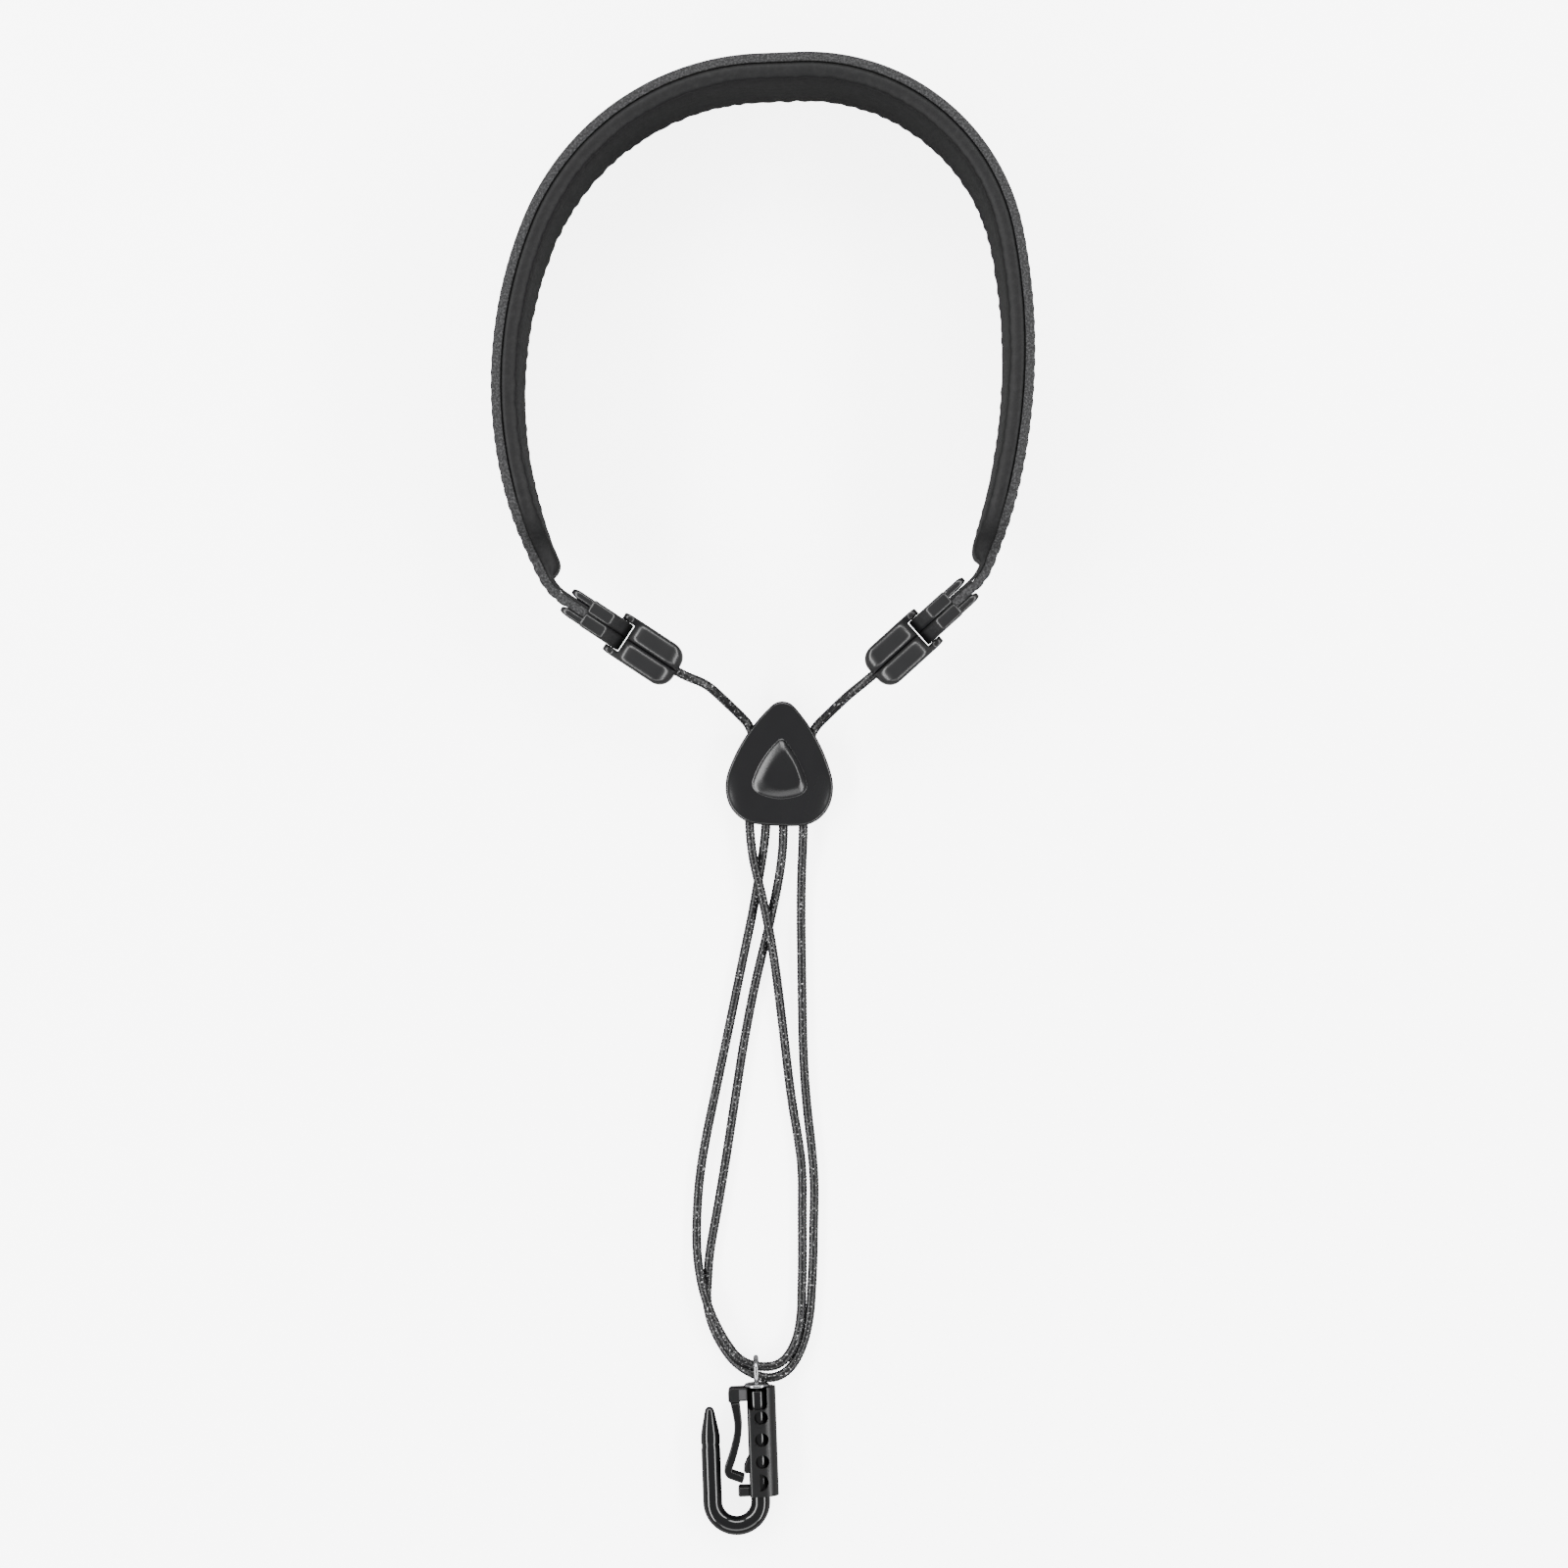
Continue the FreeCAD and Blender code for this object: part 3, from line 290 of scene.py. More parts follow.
CORD_DIA = 3.0
BRAID_STEP, BRAID_SIDES, BRAID_STRANDS, BRAID_PITCH = 0.28, 24, 6, 7.0
BRAID_GROOVE, BRAID_RELIEF = 0.14, 0.26
LEFT_CORD_END = [
    (-34.18, 47.45, 25.0), (-27.24, 42.89, 25.0), (-19.2, 40.1, 23.0), (-14.4, 35.9, 17.6),
    (-10.5, 32.2, 11.7),
]
LEFT_CORD = [
    (-10.5, 32.2, 11.7), (-7.3, 29.2, 7.4), (-4.7, 26.2, 5.2), (-3.2, 21.5, 5.0), (-4.0, 14.8, 5.0),
    (-4.8, 8.2, 5.0), (-5.0, 2.0, 5.0),
]
LONG_CORD = [
    (-5.0, 2.0, 5.0), (-4.9, -4.0, 5.0), (-4.5, -11.5, 4.9), (-3.4, -19.5, 4.8), (-1.4, -27.5, 4.8),
    (0.8, -37.0, 4.8), (3.5, -51.5, 4.0), (6.1, -72.2, 1.5), (9.1, -98.5, 1.5), (11.6, -112.5, 1.5),
    (13.0, -123.0, 1.5), (12.9, -138.0, 1.5), (13.0, -154.0, 1.5), (12.8, -164.0, 1.5),
    (12.6, -172.5, 2.2), (10.8, -181.5, 3.5), (5.7, -188.6, 4.4), (-2.45, -189.1, 4.4),
    (-8.6, -186.4, 4.5), (-12.6, -181.0, 4.6), (-15.6, -175.8, 4.6), (-18.4, -169.6, 4.6),
    (-20.8, -162.0, 4.2), (-22.5, -152.0, 1.8), (-22.7, -141.3, 1.5), (-21.8, -126.5, 1.5),
    (-19.6, -112.7, 1.5), (-15.9, -95.2, 1.5), (-11.1, -72.2, 1.5), (-6.9, -51.5, 1.5),
    (-3.6, -36.0, 1.5), (-1.9, -26.0, 1.5), (-0.3, -17.0, 2.6), (0.7, -8.5, 5.0), (1.1, 0.0, 5.0),
    (0.9, 6.0, 5.0), (0.9, 12.0, 5.0), (6.9, 12.0, 5.0), (6.9, 6.0, 5.0), (6.4, 0.0, 5.0),
    (6.7, -8.5, 5.0), (6.2, -17.5, 2.8), (4.8, -27.0, 1.5), (1.4, -42.6, 1.5), (-2.9, -60.0, 1.5),
    (-6.7, -79.8, 1.5), (-9.7, -99.5, 1.5), (-12.7, -119.3, 1.5), (-15.7, -137.0, 1.5),
    (-18.3, -150.8, 1.5), (-18.9, -160.0, 1.5), (-19.3, -167.0, 1.5), (-17.8, -174.5, 1.5),
    (-14.4, -181.8, 1.5), (-9.6, -188.2, 2.3), (-2.45, -192.15, 4.3), (3.8, -192.9, 4.3),
    (9.3, -189.6, 3.6), (13.5, -181.7, 2.2), (15.6, -171.8, 1.5), (16.1, -163.5, 1.5),
    (16.6, -154.0, 1.5), (16.8, -141.0, 1.5), (17.1, -128.0, 1.5), (16.2, -116.0, 1.5),
    (14.3, -100.2, 1.5), (13.2, -83.7, 1.5), (12.8, -59.0, 1.5), (12.5, -36.0, 1.5),
    (12.7, -23.5, 1.9), (13.1, -14.5, 4.3), (13.3, -7.0, 5.0), (13.25, 1.0, 5.0),
]
RIGHT_CORD = [
    (13.25, 1.0, 5.0), (13.5, 8.0, 5.0), (14.1, 15.5, 5.0), (15.4, 21.8, 5.0), (17.4, 26.2, 5.8),
    (20.2, 28.7, 8.9),
]
RIGHT_CORD_END = [
    (20.2, 28.7, 8.9), (24.2, 32.6, 14.4), (29.0, 37.0, 20.9), (35.1, 41.68, 25.0),
    (41.24, 47.25, 25.0),
]


def smooth_path(points):
    """The curve that a route's corners pull on, as points a short way apart, in mm."""
    data = bpy.data.curves.new("Route", "CURVE")
    data.dimensions = "3D"
    spline = data.splines.new("NURBS")
    spline.points.add(len(points) - 1)
    for control, point in zip(spline.points, points):
        control.co = (*point, 1)
    spline.order_u = 3
    spline.use_endpoint_u = True
    spline.resolution_u = 24
    holder = bpy.data.objects.new("Route", data)
    mesh = bpy.data.meshes.new_from_object(holder)
    line = [v.co.copy() for v in mesh.vertices]
    bpy.data.objects.remove(holder)
    return line


def even(points, step):
    """The same path at even spacing, and its length."""
    lengths = [0.0]
    for a, b in zip(points, points[1:]):
        lengths.append(lengths[-1] + (b - a).length)
    count = round(lengths[-1] / step)
    out, i = [], 0
    for n in range(count + 1):
        at = lengths[-1] * n / count
        while i < len(points) - 2 and lengths[i + 1] < at:
            i += 1
        span = lengths[i + 1] - lengths[i] or 1
        out.append(points[i].lerp(points[i + 1], (at - lengths[i]) / span))
    return out, lengths[-1]


def braided_cord(name, route, nodes):
    """A cord whose surface is a braid of strands that cross at even steps."""
    path, length = even(smooth_path(route), BRAID_STEP)
    waves = BRAID_STRANDS / 2
    rings = []
    for i, (point, a, b) in enumerate(frames_along(path)):
        ring = []
        along = 2 * pi * length * i / (len(path) - 1) / BRAID_PITCH
        for t in round_angles(BRAID_SIDES):
            weave = abs(sin(waves * (t + along))) * 0.5 + abs(sin(waves * (t - along))) * 0.5
            r = CORD_DIA / 2 - BRAID_GROOVE + BRAID_RELIEF * weave
            ring.append(point + r * (a * cos(t) + b * sin(t)))
        rings.append(ring)
    made = ring_mesh(name, rings, [CORD])
    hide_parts(*nodes)
    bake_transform(made)
    return made


braided_cord("Cord left end", LEFT_CORD_END, ["left_cord_end"])
braided_cord("Cord left", LEFT_CORD, ["left_cord"])
braided_cord("Cord long", LONG_CORD,
             ["cord_run_left", "cord_middle_loop", "cord_bight", "cord_run_right"])
braided_cord("Cord right", RIGHT_CORD, ["right_cord"])
braided_cord("Cord right end", RIGHT_CORD_END, ["right_cord_end"])

# ------------------------------------------------------------------ neck band


BAND_MIDDLE = 25.0
LEATHER_DEPTH = 3.0
LINING_BACK = LEATHER_DEPTH + 0.05


class Outline:
    """The leather's outer face from above: tangent runs of (length, clockwise turn)."""

    START, HEADING = Vector((-55.78, 59.19, 0)), 146.7
    RUNS = [(13.0, 0.0), (11.2, 30.7), (118.8, 47.9), (99.2, 65.9), (13.0, 0.0), (101.1, 81.0),
            (110.1, 31.8), (9.5, 27.2), (13.0, 0.0)]

    def __init__(self):
        self.length = sum(run[0] for run in self.RUNS)

    def at(self, distance, offset):
        point, heading, done = self.START.copy(), radians(self.HEADING), 0.0
        for length, turn in self.RUNS:
            part = min(length, distance - done)
            swing = radians(turn) * part / length
            chord = part if not turn else 2 * length / radians(turn) * sin(swing / 2)
            direction = heading - swing / 2
            point += chord * Vector((cos(direction), sin(direction), 0))
            heading -= swing
            done += length
            if distance <= done:
                break
        return point + offset * Vector((sin(heading), -cos(heading), 0))


band = Outline()
PAD_BEGIN, PAD_END = 22.0, band.length - 22.0
PAD_RISE = 6.0


def half_width(y):
    """Half the band's width where it narrows to the tabs, in an S of two equal arcs."""
    tab, full, y_tab, y_full = 7.25, 25.0, 70.0, 105.0
    run, rise = y_full - y_tab, full - tab
    bend = (run**2 + rise**2) / (4 * rise)
    if y <= y_tab:
        return tab
    if y >= y_full:
        return full
    if y < (y_tab + y_full) / 2:
        return tab + bend - sqrt(bend**2 - (y - y_tab) ** 2)
    return full - bend + sqrt(bend**2 - (y_full - y) ** 2)


def stations(begin, end, step):
    """Distances along the band from begin to end, about a step apart."""
    count = round((end - begin) / step)
    return [begin + (end - begin) * i / count for i in range(count + 1)]


def wobble(s, scale, seed):
    """A smooth random wave along the band, between about -1 and 1."""
    return noise.noise(Vector((s / scale, seed, 0.37 * seed)))


def strip_ring(s, layout):
    """A ring across the band. layout is a list of (offset, height from the middle)."""
    return [band.at(s, offset) + Vector((0, 0, BAND_MIDDLE + height)) for offset, height in layout]


def leather_layout(s, half):
    """The leather's section: outer face, upper edge, inner face, lower edge."""
    r, nick = 0.35, 0.1
    wave = 0.12 * wobble(s, 6.0, 3.0)
    levels = [-1 + 2 * i / 10 for i in range(11)]
    outer = [(0.0, (half - r) * k) for k in levels]
    top = [
        (nick, half - nick), (r, half), (LEATHER_DEPTH / 2, half + wave * 0.5),
        (LEATHER_DEPTH - r, half), (LEATHER_DEPTH - nick, half - nick),
    ]
    inner = [(LEATHER_DEPTH, -(half - r) * k) for k in levels]
    low = [(o, -h) for o, h in reversed(top)]
    return outer + top + inner + low


def build_leather():
    """The outer leather strip, with a rougher finish on its cut edges."""
    rings = []
    for s in stations(0.0, band.length, 1.0):
        half = half_width(band.at(s, LEATHER_DEPTH / 2).y)
        rings.append(strip_ring(s, leather_layout(s, half)))
    slots = [0] * 10 + [1] * 6 + [0] * 10 + [1] * 6
    return ring_mesh("Leather", rings, [LEATHER, CUT_EDGE], face_slots=slots)


def pucker_wave(s, depth, pitch, drift, ruffle):
    """How far a sewn edge of the pad puckers in and out. drift moves the puckers along the edge,
    and ruffle adds to them."""
    return depth * sin(2 * pi * s / pitch + 5.0 * drift) + ruffle


def pad_edge(face, corner, top, swell, pucker):
    """The pad's section round its upper corner, down to the groove and the ridge on its face."""
    edge, groove = [], 0.35 * swell
    for angle in (80, 55, 30, 8):
        a = radians(angle)
        reach = corner + pucker * cos(a)
        edge.append((face - corner + reach * cos(a), top - corner + corner * sin(a)))
    edge.append((face - 0.45 * groove + 0.6 * pucker, top - corner - 0.9))
    edge.append((face + 0.1 + 0.35 * pucker, top - corner - 2.0))
    return edge


def pad_layout(s, half):
    """The padded lining's section, full in the middle of the band and thin at its ends."""
    into = min(s - PAD_BEGIN, PAD_END - s)
    swell = 0.0 if into <= 0 else 1.0 if into >= PAD_RISE else sqrt(1 - (1 - into / PAD_RISE) ** 2)
    thick = 0.95 + 4.25 * swell
    corner = min(1.9, thick * 0.45)
    top, face = half - (0.25 + 0.5 * swell), LINING_BACK + thick
    pucker = swell * pucker_wave(s, 0.1, 4.6, wobble(s, 23.0, 1.0), 0.3 * wobble(s, 5.0, 2.0))
    low_pucker = swell * pucker_wave(s, 0.14, 5.1, wobble(s, 19.0, 5.0), 0.35 * wobble(s, 4.2, 6.0))
    belly = swell * 0.5 * wobble(s, 30.0, 8.0)
    layout = [(LINING_BACK, top * k) for k in (-1, -0.5, 0, 0.5, 1)]
    layout.append((LINING_BACK + thick * 0.3, top + 0.35 * swell))
    layout.append((LINING_BACK + thick * 0.6, top + 0.25 * swell + 0.2 * pucker))
    layout += pad_edge(face, corner, top, swell, pucker)
    for k in (0.6, 0.3, 0.0, -0.3, -0.6):
        layout.append((face + belly * (1 - k * k) + 0.2 * swell, (top - corner) * k))
    layout += [(o, -h) for o, h in reversed(pad_edge(face, corner, top, swell, low_pucker))]
    layout.append((LINING_BACK + thick * 0.5, -(top + 0.2 * swell)))
    return layout


def build_pad():
    """The padded lining, on the neck's side of the leather."""
    rings = []
    for s in stations(0.3, band.length - 0.3, 0.7):
        half = half_width(band.at(s, 5.0).y)
        rings.append(strip_ring(s, pad_layout(s, half)))
    return ring_mesh("Pad", rings, [LINING])


def build_stitches():
    """Thread along both edges of the band, on the leather's outer face."""
    margin, pitch, stitch, inset = 12.0, 4.4, 3.0, 3.2
    mesh = bmesh.new()
    for s in stations(margin, band.length - margin, pitch)[:-1]:
        for side in (1, -1):
            ends = []
            for d in (s, s + stitch):
                height = BAND_MIDDLE + side * (half_width(band.at(d, LEATHER_DEPTH / 2).y) - inset)
                ends.append(band.at(d, -0.08) + Vector((0, 0, height)))
            length = (ends[1] - ends[0]).length
            turn = (ends[1] - ends[0]).to_track_quat("X", "Z").to_matrix().to_4x4()
            matrix = Matrix.Translation((ends[0] + ends[1]) / 2 * MM) @ turn
            bmesh.ops.create_uvsphere(mesh, u_segments=8, v_segments=6, radius=MM,
                                      matrix=matrix @ Matrix.Diagonal((length / 2, 0.3, 0.36, 1)))
    data = bpy.data.meshes.new("Stitches")
    mesh.to_mesh(data)
    mesh.free()
    data.polygons.foreach_set("use_smooth", [True] * len(data.polygons))
    return add_object("Stitches", data, THREAD)


leather = build_leather()
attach(leather, "neck_band")
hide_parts("outer_leather")
pad = build_pad()
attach(pad, "neck_band")
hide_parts("pad_cover", "pad_foam")
stitches = build_stitches()
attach(stitches, "neck_band")

# ------------------------------------------------------------------ clips


HINGE_X = 12.5
CLAMP_DEPTH, CLAMP_HALF, KNUCKLE_RADIUS = 4.97, 8.0, 2.5
JAW_INSIDE = 2.1
BARREL_DEPTH, BARREL_HALF, BARREL_CORNER, BARREL_ROUND = 7.5, 6.5, 2.0, 5.2
CHEEK_INSIDE, CHEEK_RADIUS = 5.03, 2.2


def arc_drop(distance, radius):
    """How far a rounded edge of this radius has dropped, a distance in from where it starts."""
    return radius - sqrt(max(0.0, radius**2 - min(distance, radius) ** 2))


def across_clip(rings, side):
    """The rings of one half of the clip, on its own side of the seam."""
    return [[(p.x, side * p.y, p.z) for p in rounded_box_ring(*ring)] for ring in rings]


def clamp_rings(side):
    """One half of the clamp: jaw, body and knuckle. side is +1 or -1 across the clip."""
    rings = []
    for x in [-8 + 0.25 * i for i in range(13)] + [-4.5, -3, -1.5, -0.5]:
        inset = arc_drop(max(0.0, -5.2 - x), 3.0)
        rings.append((x, JAW_INSIDE + 0.35 * inset, 4.75 - 0.35 * inset, 7.8 - inset, 0.9))
    rings.append((-0.2, JAW_INSIDE, 4.55, 7.6, 0.7))
    rings.append((0.0, 0.0, 4.5, 7.6, 0.7))
    for x in (0.25, 0.6, 2, 4, 6, 7.2):
        rings.append((x, 0.0, CLAMP_DEPTH, CLAMP_HALF, 1.1))
    for i in range(12):
        x = 8.0 + 6.26 * i / 11
        rings.append((x, 0.0, CLAMP_DEPTH, CLAMP_HALF - (x - 8.0) * 0.995, 1.3))
    for i in range(1, 9):
        a = radians(45.2 * (1 - i / 8))
        half = max(0.25, KNUCKLE_RADIUS * sin(a))
        rings.append((HINGE_X + KNUCKLE_RADIUS * cos(a), 0.0, CLAMP_DEPTH - 0.3 * i / 8, half, 1.0))
    return across_clip(rings, side)


def barrel_rings(side):
    """One half of the barrel: cheek, body and rounded end."""
    rings = []
    for i in range(9):
        a = radians(180 - 120 * i / 8)
        depth = BARREL_DEPTH - 0.5 * (1 - i / 8) ** 2
        half = max(0.3, CHEEK_RADIUS * sin(a))
        rings.append((HINGE_X + CHEEK_RADIUS * cos(a), CHEEK_INSIDE, depth, half, 0.8))
    for x, half in ((14.4, 3.2), (15.36, 4.2)):
        rings.append((x, CHEEK_INSIDE, BARREL_DEPTH, half, 1.0))
    rings.append((15.4, 0.0, BARREL_DEPTH, 4.25, 1.0))
    for x, half in ((16.4, 5.3), (17.3, 6.1), (18.2, 6.45)):
        rings.append((x, 0.0, BARREL_DEPTH, half, BARREL_CORNER))
    for x in (19.5, 24, 28, 29.6):
        rings.append((x, 0.0, BARREL_DEPTH, BARREL_HALF, BARREL_CORNER))
    for i in range(1, 13):
        a = radians(90 * i / 12)
        x = 29.8 + BARREL_ROUND * sin(a)
        drop = BARREL_ROUND * (1 - cos(a))
        rings.append((x, 0.0, BARREL_DEPTH - drop, BARREL_HALF - 0.85 * drop, BARREL_CORNER))
    return across_clip(rings, side)


CLIPS = {
    "left": (flat_frame(-57.998, 63.099, 25.0, -33.3), 1),
    "right": (flat_frame(62.356, 66.396, 25.0, -137.8), -1),
}
for clip, (matrix, inner) in CLIPS.items():
    for half, side in (("inner", inner), ("outer", -inner)):
        clamp = ring_mesh(f"{clip} clamp {half}", clamp_rings(side), [CLIP])
        place(clamp, matrix, "neck_band", f"{clip}_clamp_{half}")
        barrel = ring_mesh(f"{clip} barrel {half}", barrel_rings(side), [CLIP])
        place(barrel, matrix, f"{clip}_barrel", f"{clip}_barrel_{half}")

# ------------------------------------------------------------------ slider

slider_frame = flat_frame(5.3, 7.0, 5.0, -2.5)
SLIDER_TIP = Vector((0, 27.5, 0))
SLIDER_ARCS = [(5.4, 45.5), (56.2, 26.85), (16.0, 33.5), (11.5, 68.9)]  # radius, turn
SLIDER_MIDDLE = Vector((0, 4.0, 0))
SHELL_FRONT, FRONT_ROUND, DROOP = 2.2, 1.0, 1.3
SHELL_BACK, BACK_ROUND, BACK_DROP = -1.2, 2.2, 2.4
BUMP_SHIFT = 1.1


def slider_outline():
    """The slider's outline, from its tip down the right side and back up the left."""
    point, heading, side = SLIDER_TIP.copy(), 0.0, [SLIDER_TIP.copy()]
    arcs = SLIDER_ARCS + [(None, 180 - sum(turn for _, turn in SLIDER_ARCS))]
    for radius, turn in arcs:
        radius = radius or point.x / sin(radians(turn))
        centre = point + radius * Vector((sin(heading), -cos(heading), 0))
        for i in range(1, 25):
            a = heading - radians(turn) * i / 24
            side.append(centre + radius * Vector((-sin(a), cos(a), 0)))
        point, heading = side[-1], heading - radians(turn)
    return mirrored(side)


def mirrored(side):
    """A closed outline from its right side, which runs from the top to the foot."""
    return side + [Vector((-p.x, p.y, 0)) for p in side[-2:0:-1]]


def bow(a, b, swell, count):
    """Points from a towards b that swell out to the left of the way."""
    across = Vector((a.y - b.y, b.x - a.x, 0)).normalized()
    steps = [i / count for i in range(count)]
    return [a.lerp(b, k) + across * swell * 4 * k * (1 - k) for k in steps]


def bump_outline():
    """The raised triangle's outline, in the same sense."""
    apex, corner = Vector((0, 15.5, 0)), Vector((9.3, -0.2, 0))
    foot, base = Vector((7.6, -3.5, 0)), Vector((0, -5.3, 0))
    side = bow(apex, corner, 1.3, 30) + bow(corner, foot, 0.5, 8) + bow(foot, base, 0.4, 16)
    return mirrored(side + [base])


def by_angle(outline, count=180):
    """The outline's reach from the slider's middle in evenly spaced directions."""
    spokes = [p - SLIDER_MIDDLE for p in outline]
    polar = sorted((atan2(p.x, p.y) % (2 * pi), hypot(p.x, p.y)) for p in spokes)
    polar = [(polar[-1][0] - 2 * pi, polar[-1][1])] + polar + [(polar[0][0] + 2 * pi, polar[0][1])]
    out, i = [], 0
    for a in round_angles(count):
        while polar[i + 1][0] < a:
            i += 1
        (a0, r0), (a1, r1) = polar[i], polar[i + 1]
        out.append(r0 + (r1 - r0) * (a - a0) / (a1 - a0 or 1))
    return out


def softened(reach, spread):
    """The reaches with their corners rounded, by averaging over their neighbours."""
    count, near = len(reach), range(-spread, spread + 1)
    return [sum(reach[(n + d) % count] for d in near) / len(near) for n in range(count)]


OUTER = by_angle(slider_outline())
BUMP = softened(by_angle(bump_outline()), 3)


def polar_ring(reach, height, shift=0.0):
    """A ring at one height, or at a height for each direction, moved over by shift."""
    levels = height if isinstance(height, list) else [height] * len(reach)
    return [
        SLIDER_MIDDLE + Vector((r * sin(a) + shift, r * cos(a), level))
        for r, a, level in zip(reach, round_angles(len(reach)), levels)
    ]


def corner_droop(angle):
    """How far the plate droops in this direction: most at its two lower corners."""
    a = degrees(angle)
    return DROOP * (exp(-((a - 118) / 26) ** 2) + exp(-((a - 242) / 26) ** 2))


def slider_front():
    """The front shell: its rounded rim, a shallow dish, and the raised triangle."""
    droop = [corner_droop(a) for a in round_angles(len(OUTER))]
    rings = [polar_ring(OUTER, 0.02), polar_ring(OUTER, [SHELL_FRONT - d for d in droop])]
    for i in range(1, 9):
        a = radians(90 * i / 8)
        levels = [SHELL_FRONT - d + 1.1 * sin(a) for d in droop]
        rings.append(polar_ring([r - FRONT_ROUND * (1 - cos(a)) for r in OUTER], levels))
    for i in range(1, 15):
        t = i / 14 if i < 14 else 0.995
        levels = [3.3 - 0.4 * sin(pi * t / 2) - d * (1 - t) ** 3 for d in droop]
        reach = [(r - FRONT_ROUND) * (1 - t) + b * t for r, b in zip(OUTER, BUMP)]
        rings.append(polar_ring(reach, levels))
    height, slopes = 2.9, (44, 38, 33, 29, 27, 26, 25, 24, 22, 19, 14, 8, 4)
    for i, slope in enumerate(slopes):
        rings.append(polar_ring([b * (1 - 0.42 * i / 12) for b in BUMP], height, BUMP_SHIFT * i / 12))
        height += tan(radians(slope)) * 0.31
    for k in (0.5, 0.4, 0.3, 0.2, 0.1, 0.03):
        rings.append(polar_ring([b * k for b in BUMP], height + 0.05 * (1 - k), BUMP_SHIFT))
    return rings


def slider_back():
    """The back shell: a flat plate with a round rim."""
    rings = [polar_ring(OUTER, -0.02), polar_ring(OUTER, SHELL_BACK)]
    for i in range(1, 9):
        a = radians(90 * i / 8)
        reach = [r - BACK_ROUND * (1 - cos(a)) for r in OUTER]
        rings.append(polar_ring(reach, SHELL_BACK - BACK_DROP * sin(a)))
    for k in (0.75, 0.5, 0.25, 0.03):
        rings.append(polar_ring([(r - BACK_ROUND) * k for r in OUTER], SHELL_BACK - BACK_DROP))
    return rings


place(ring_mesh("Slider front", slider_front(), [SLIDER]), slider_frame, "slider", "slider_front_shell")
place(ring_mesh("Slider back", slider_back(), [SLIDER]), slider_frame, "slider", "slider_back_shell")

# ------------------------------------------------------------------ swivel eye and hook

hook_frame = flat_frame(-2.5, -190.2, 5.5, 2.0)
EYE_RADIUS, WIRE_RADIUS, SHANK_RADIUS = 4.6, 0.85, 1.1
ROD_RADIUS, LEG_X, BEND_Y = 3.2, -16.16, -43.5
SLEEVE_TOP, SLEEVE_FOOT, SLEEVE_RADIUS, SLEEVE_ROUND_X = 5.2, 41.6, 4.7, 1.5
SLEEVE_BACK_X, SLEEVE_CORNER = -3.5, 1.2
LATCH_PIVOT = Vector((-7.5, -7.4, 0))
LATCH_RUNS = [(8.3, 0.0), (6.5, 18.0), (10.4, 10.0), (2.8, -92.0), (4.3, 0.0)]  # length, turn
LATCH_HALF = 1.27


def arc_points(cx, cy, radius, begin, end, count):
    """Points along an arc, both ends included, with its angles in degrees."""
    angles = [radians(begin + (end - begin) * i / count) for i in range(count + 1)]
    return [(cx + radius * cos(a), cy + radius * sin(a)) for a in angles]


def turned(profile, sides):
    """Rings round the hook's axis, from a profile of (place along the axis, radius)."""
    return [[(r * cos(t), y, r * sin(t)) for t in round_angles(sides)] for y, r in profile]


def build_eye():
    """The wire ring across the hook's axis, closed, with its shank down into the hook."""
    rings = []
    for angle in round_angles(64):
        out = Vector((0, cos(angle), sin(angle)))
        aside = Vector((1, 0, 0))
        rings.append([
            out * EYE_RADIUS + WIRE_RADIUS * (out * cos(t) + aside * sin(t)) for t in round_angles(20)
        ])
    rings.append(rings[0])
    ring = ring_mesh("Swivel eye", rings, [STEEL], capped=False)
    ends = [Vector((0, -EYE_RADIUS, 0)), Vector((0, -13, 0))]
    return ring, tube("Swivel shank", ends, [SHANK_RADIUS] * 2, STEEL, 20)


def build_collar():
    """The collar under the ring."""
    profile = [
        (-3.95, 1.3), (-4.0, 3.4), (-4.15, 3.95), (-4.5, 4.25), (-5.0, 4.25), (-5.3, 4.05),
        (-5.4, 3.6), (-5.4, 1.3),
    ]
    return ring_mesh("Collar", turned(profile, 40), [STEEL])


def build_rod():
    """The J: down the shank, round the bend, up the leg and into its cone."""
    bend = -LEG_X / 2
    path = [Vector((0, y, 0)) for y in (-6.3, -6.35, -6.45, -6.65)]
    path += [Vector((0, -8 + (BEND_Y + 8) * i / 20, 0)) for i in range(21)]
    for i in range(1, 33):
        a = pi * i / 32
        path.append(Vector((-bend + bend * cos(a), BEND_Y - bend * sin(a), 0)))
    radii = [2.6, 2.9, 3.1] + [ROD_RADIUS] * (len(path) - 3)
    leg = [(y, ROD_RADIUS) for y in (-42, -36, -30, -25.7)]
    leg += [(-25.4, 3.16), (-25.1, 3.07), (-24.5, 3.03), (-23.9, 3.07), (-23.6, 3.16)]
    leg += [(-23.3, ROD_RADIUS), (-21.6, 3.19), (-20.6, 3.12), (-19.5, 2.95), (-17.5, 2.57)]
    leg += [(-15.5, 2.16), (-14, 1.86), (-13, 1.65), (-12.3, 1.42), (-11.9, 1.18), (-11.6, 0.82)]
    leg += [(-11.45, 0.42), (-11.4, 0.03)]
    path += [Vector((LEG_X, y, 0)) for y, _ in leg]
    return tube("Hook rod", path, radii + [r for _, r in leg], HOOK, 40)


def cutter(name, outline):
    """A tool that cuts an opening through the front of the sleeve."""
    return prism(name, outline, 0.2, 8, HOOK)


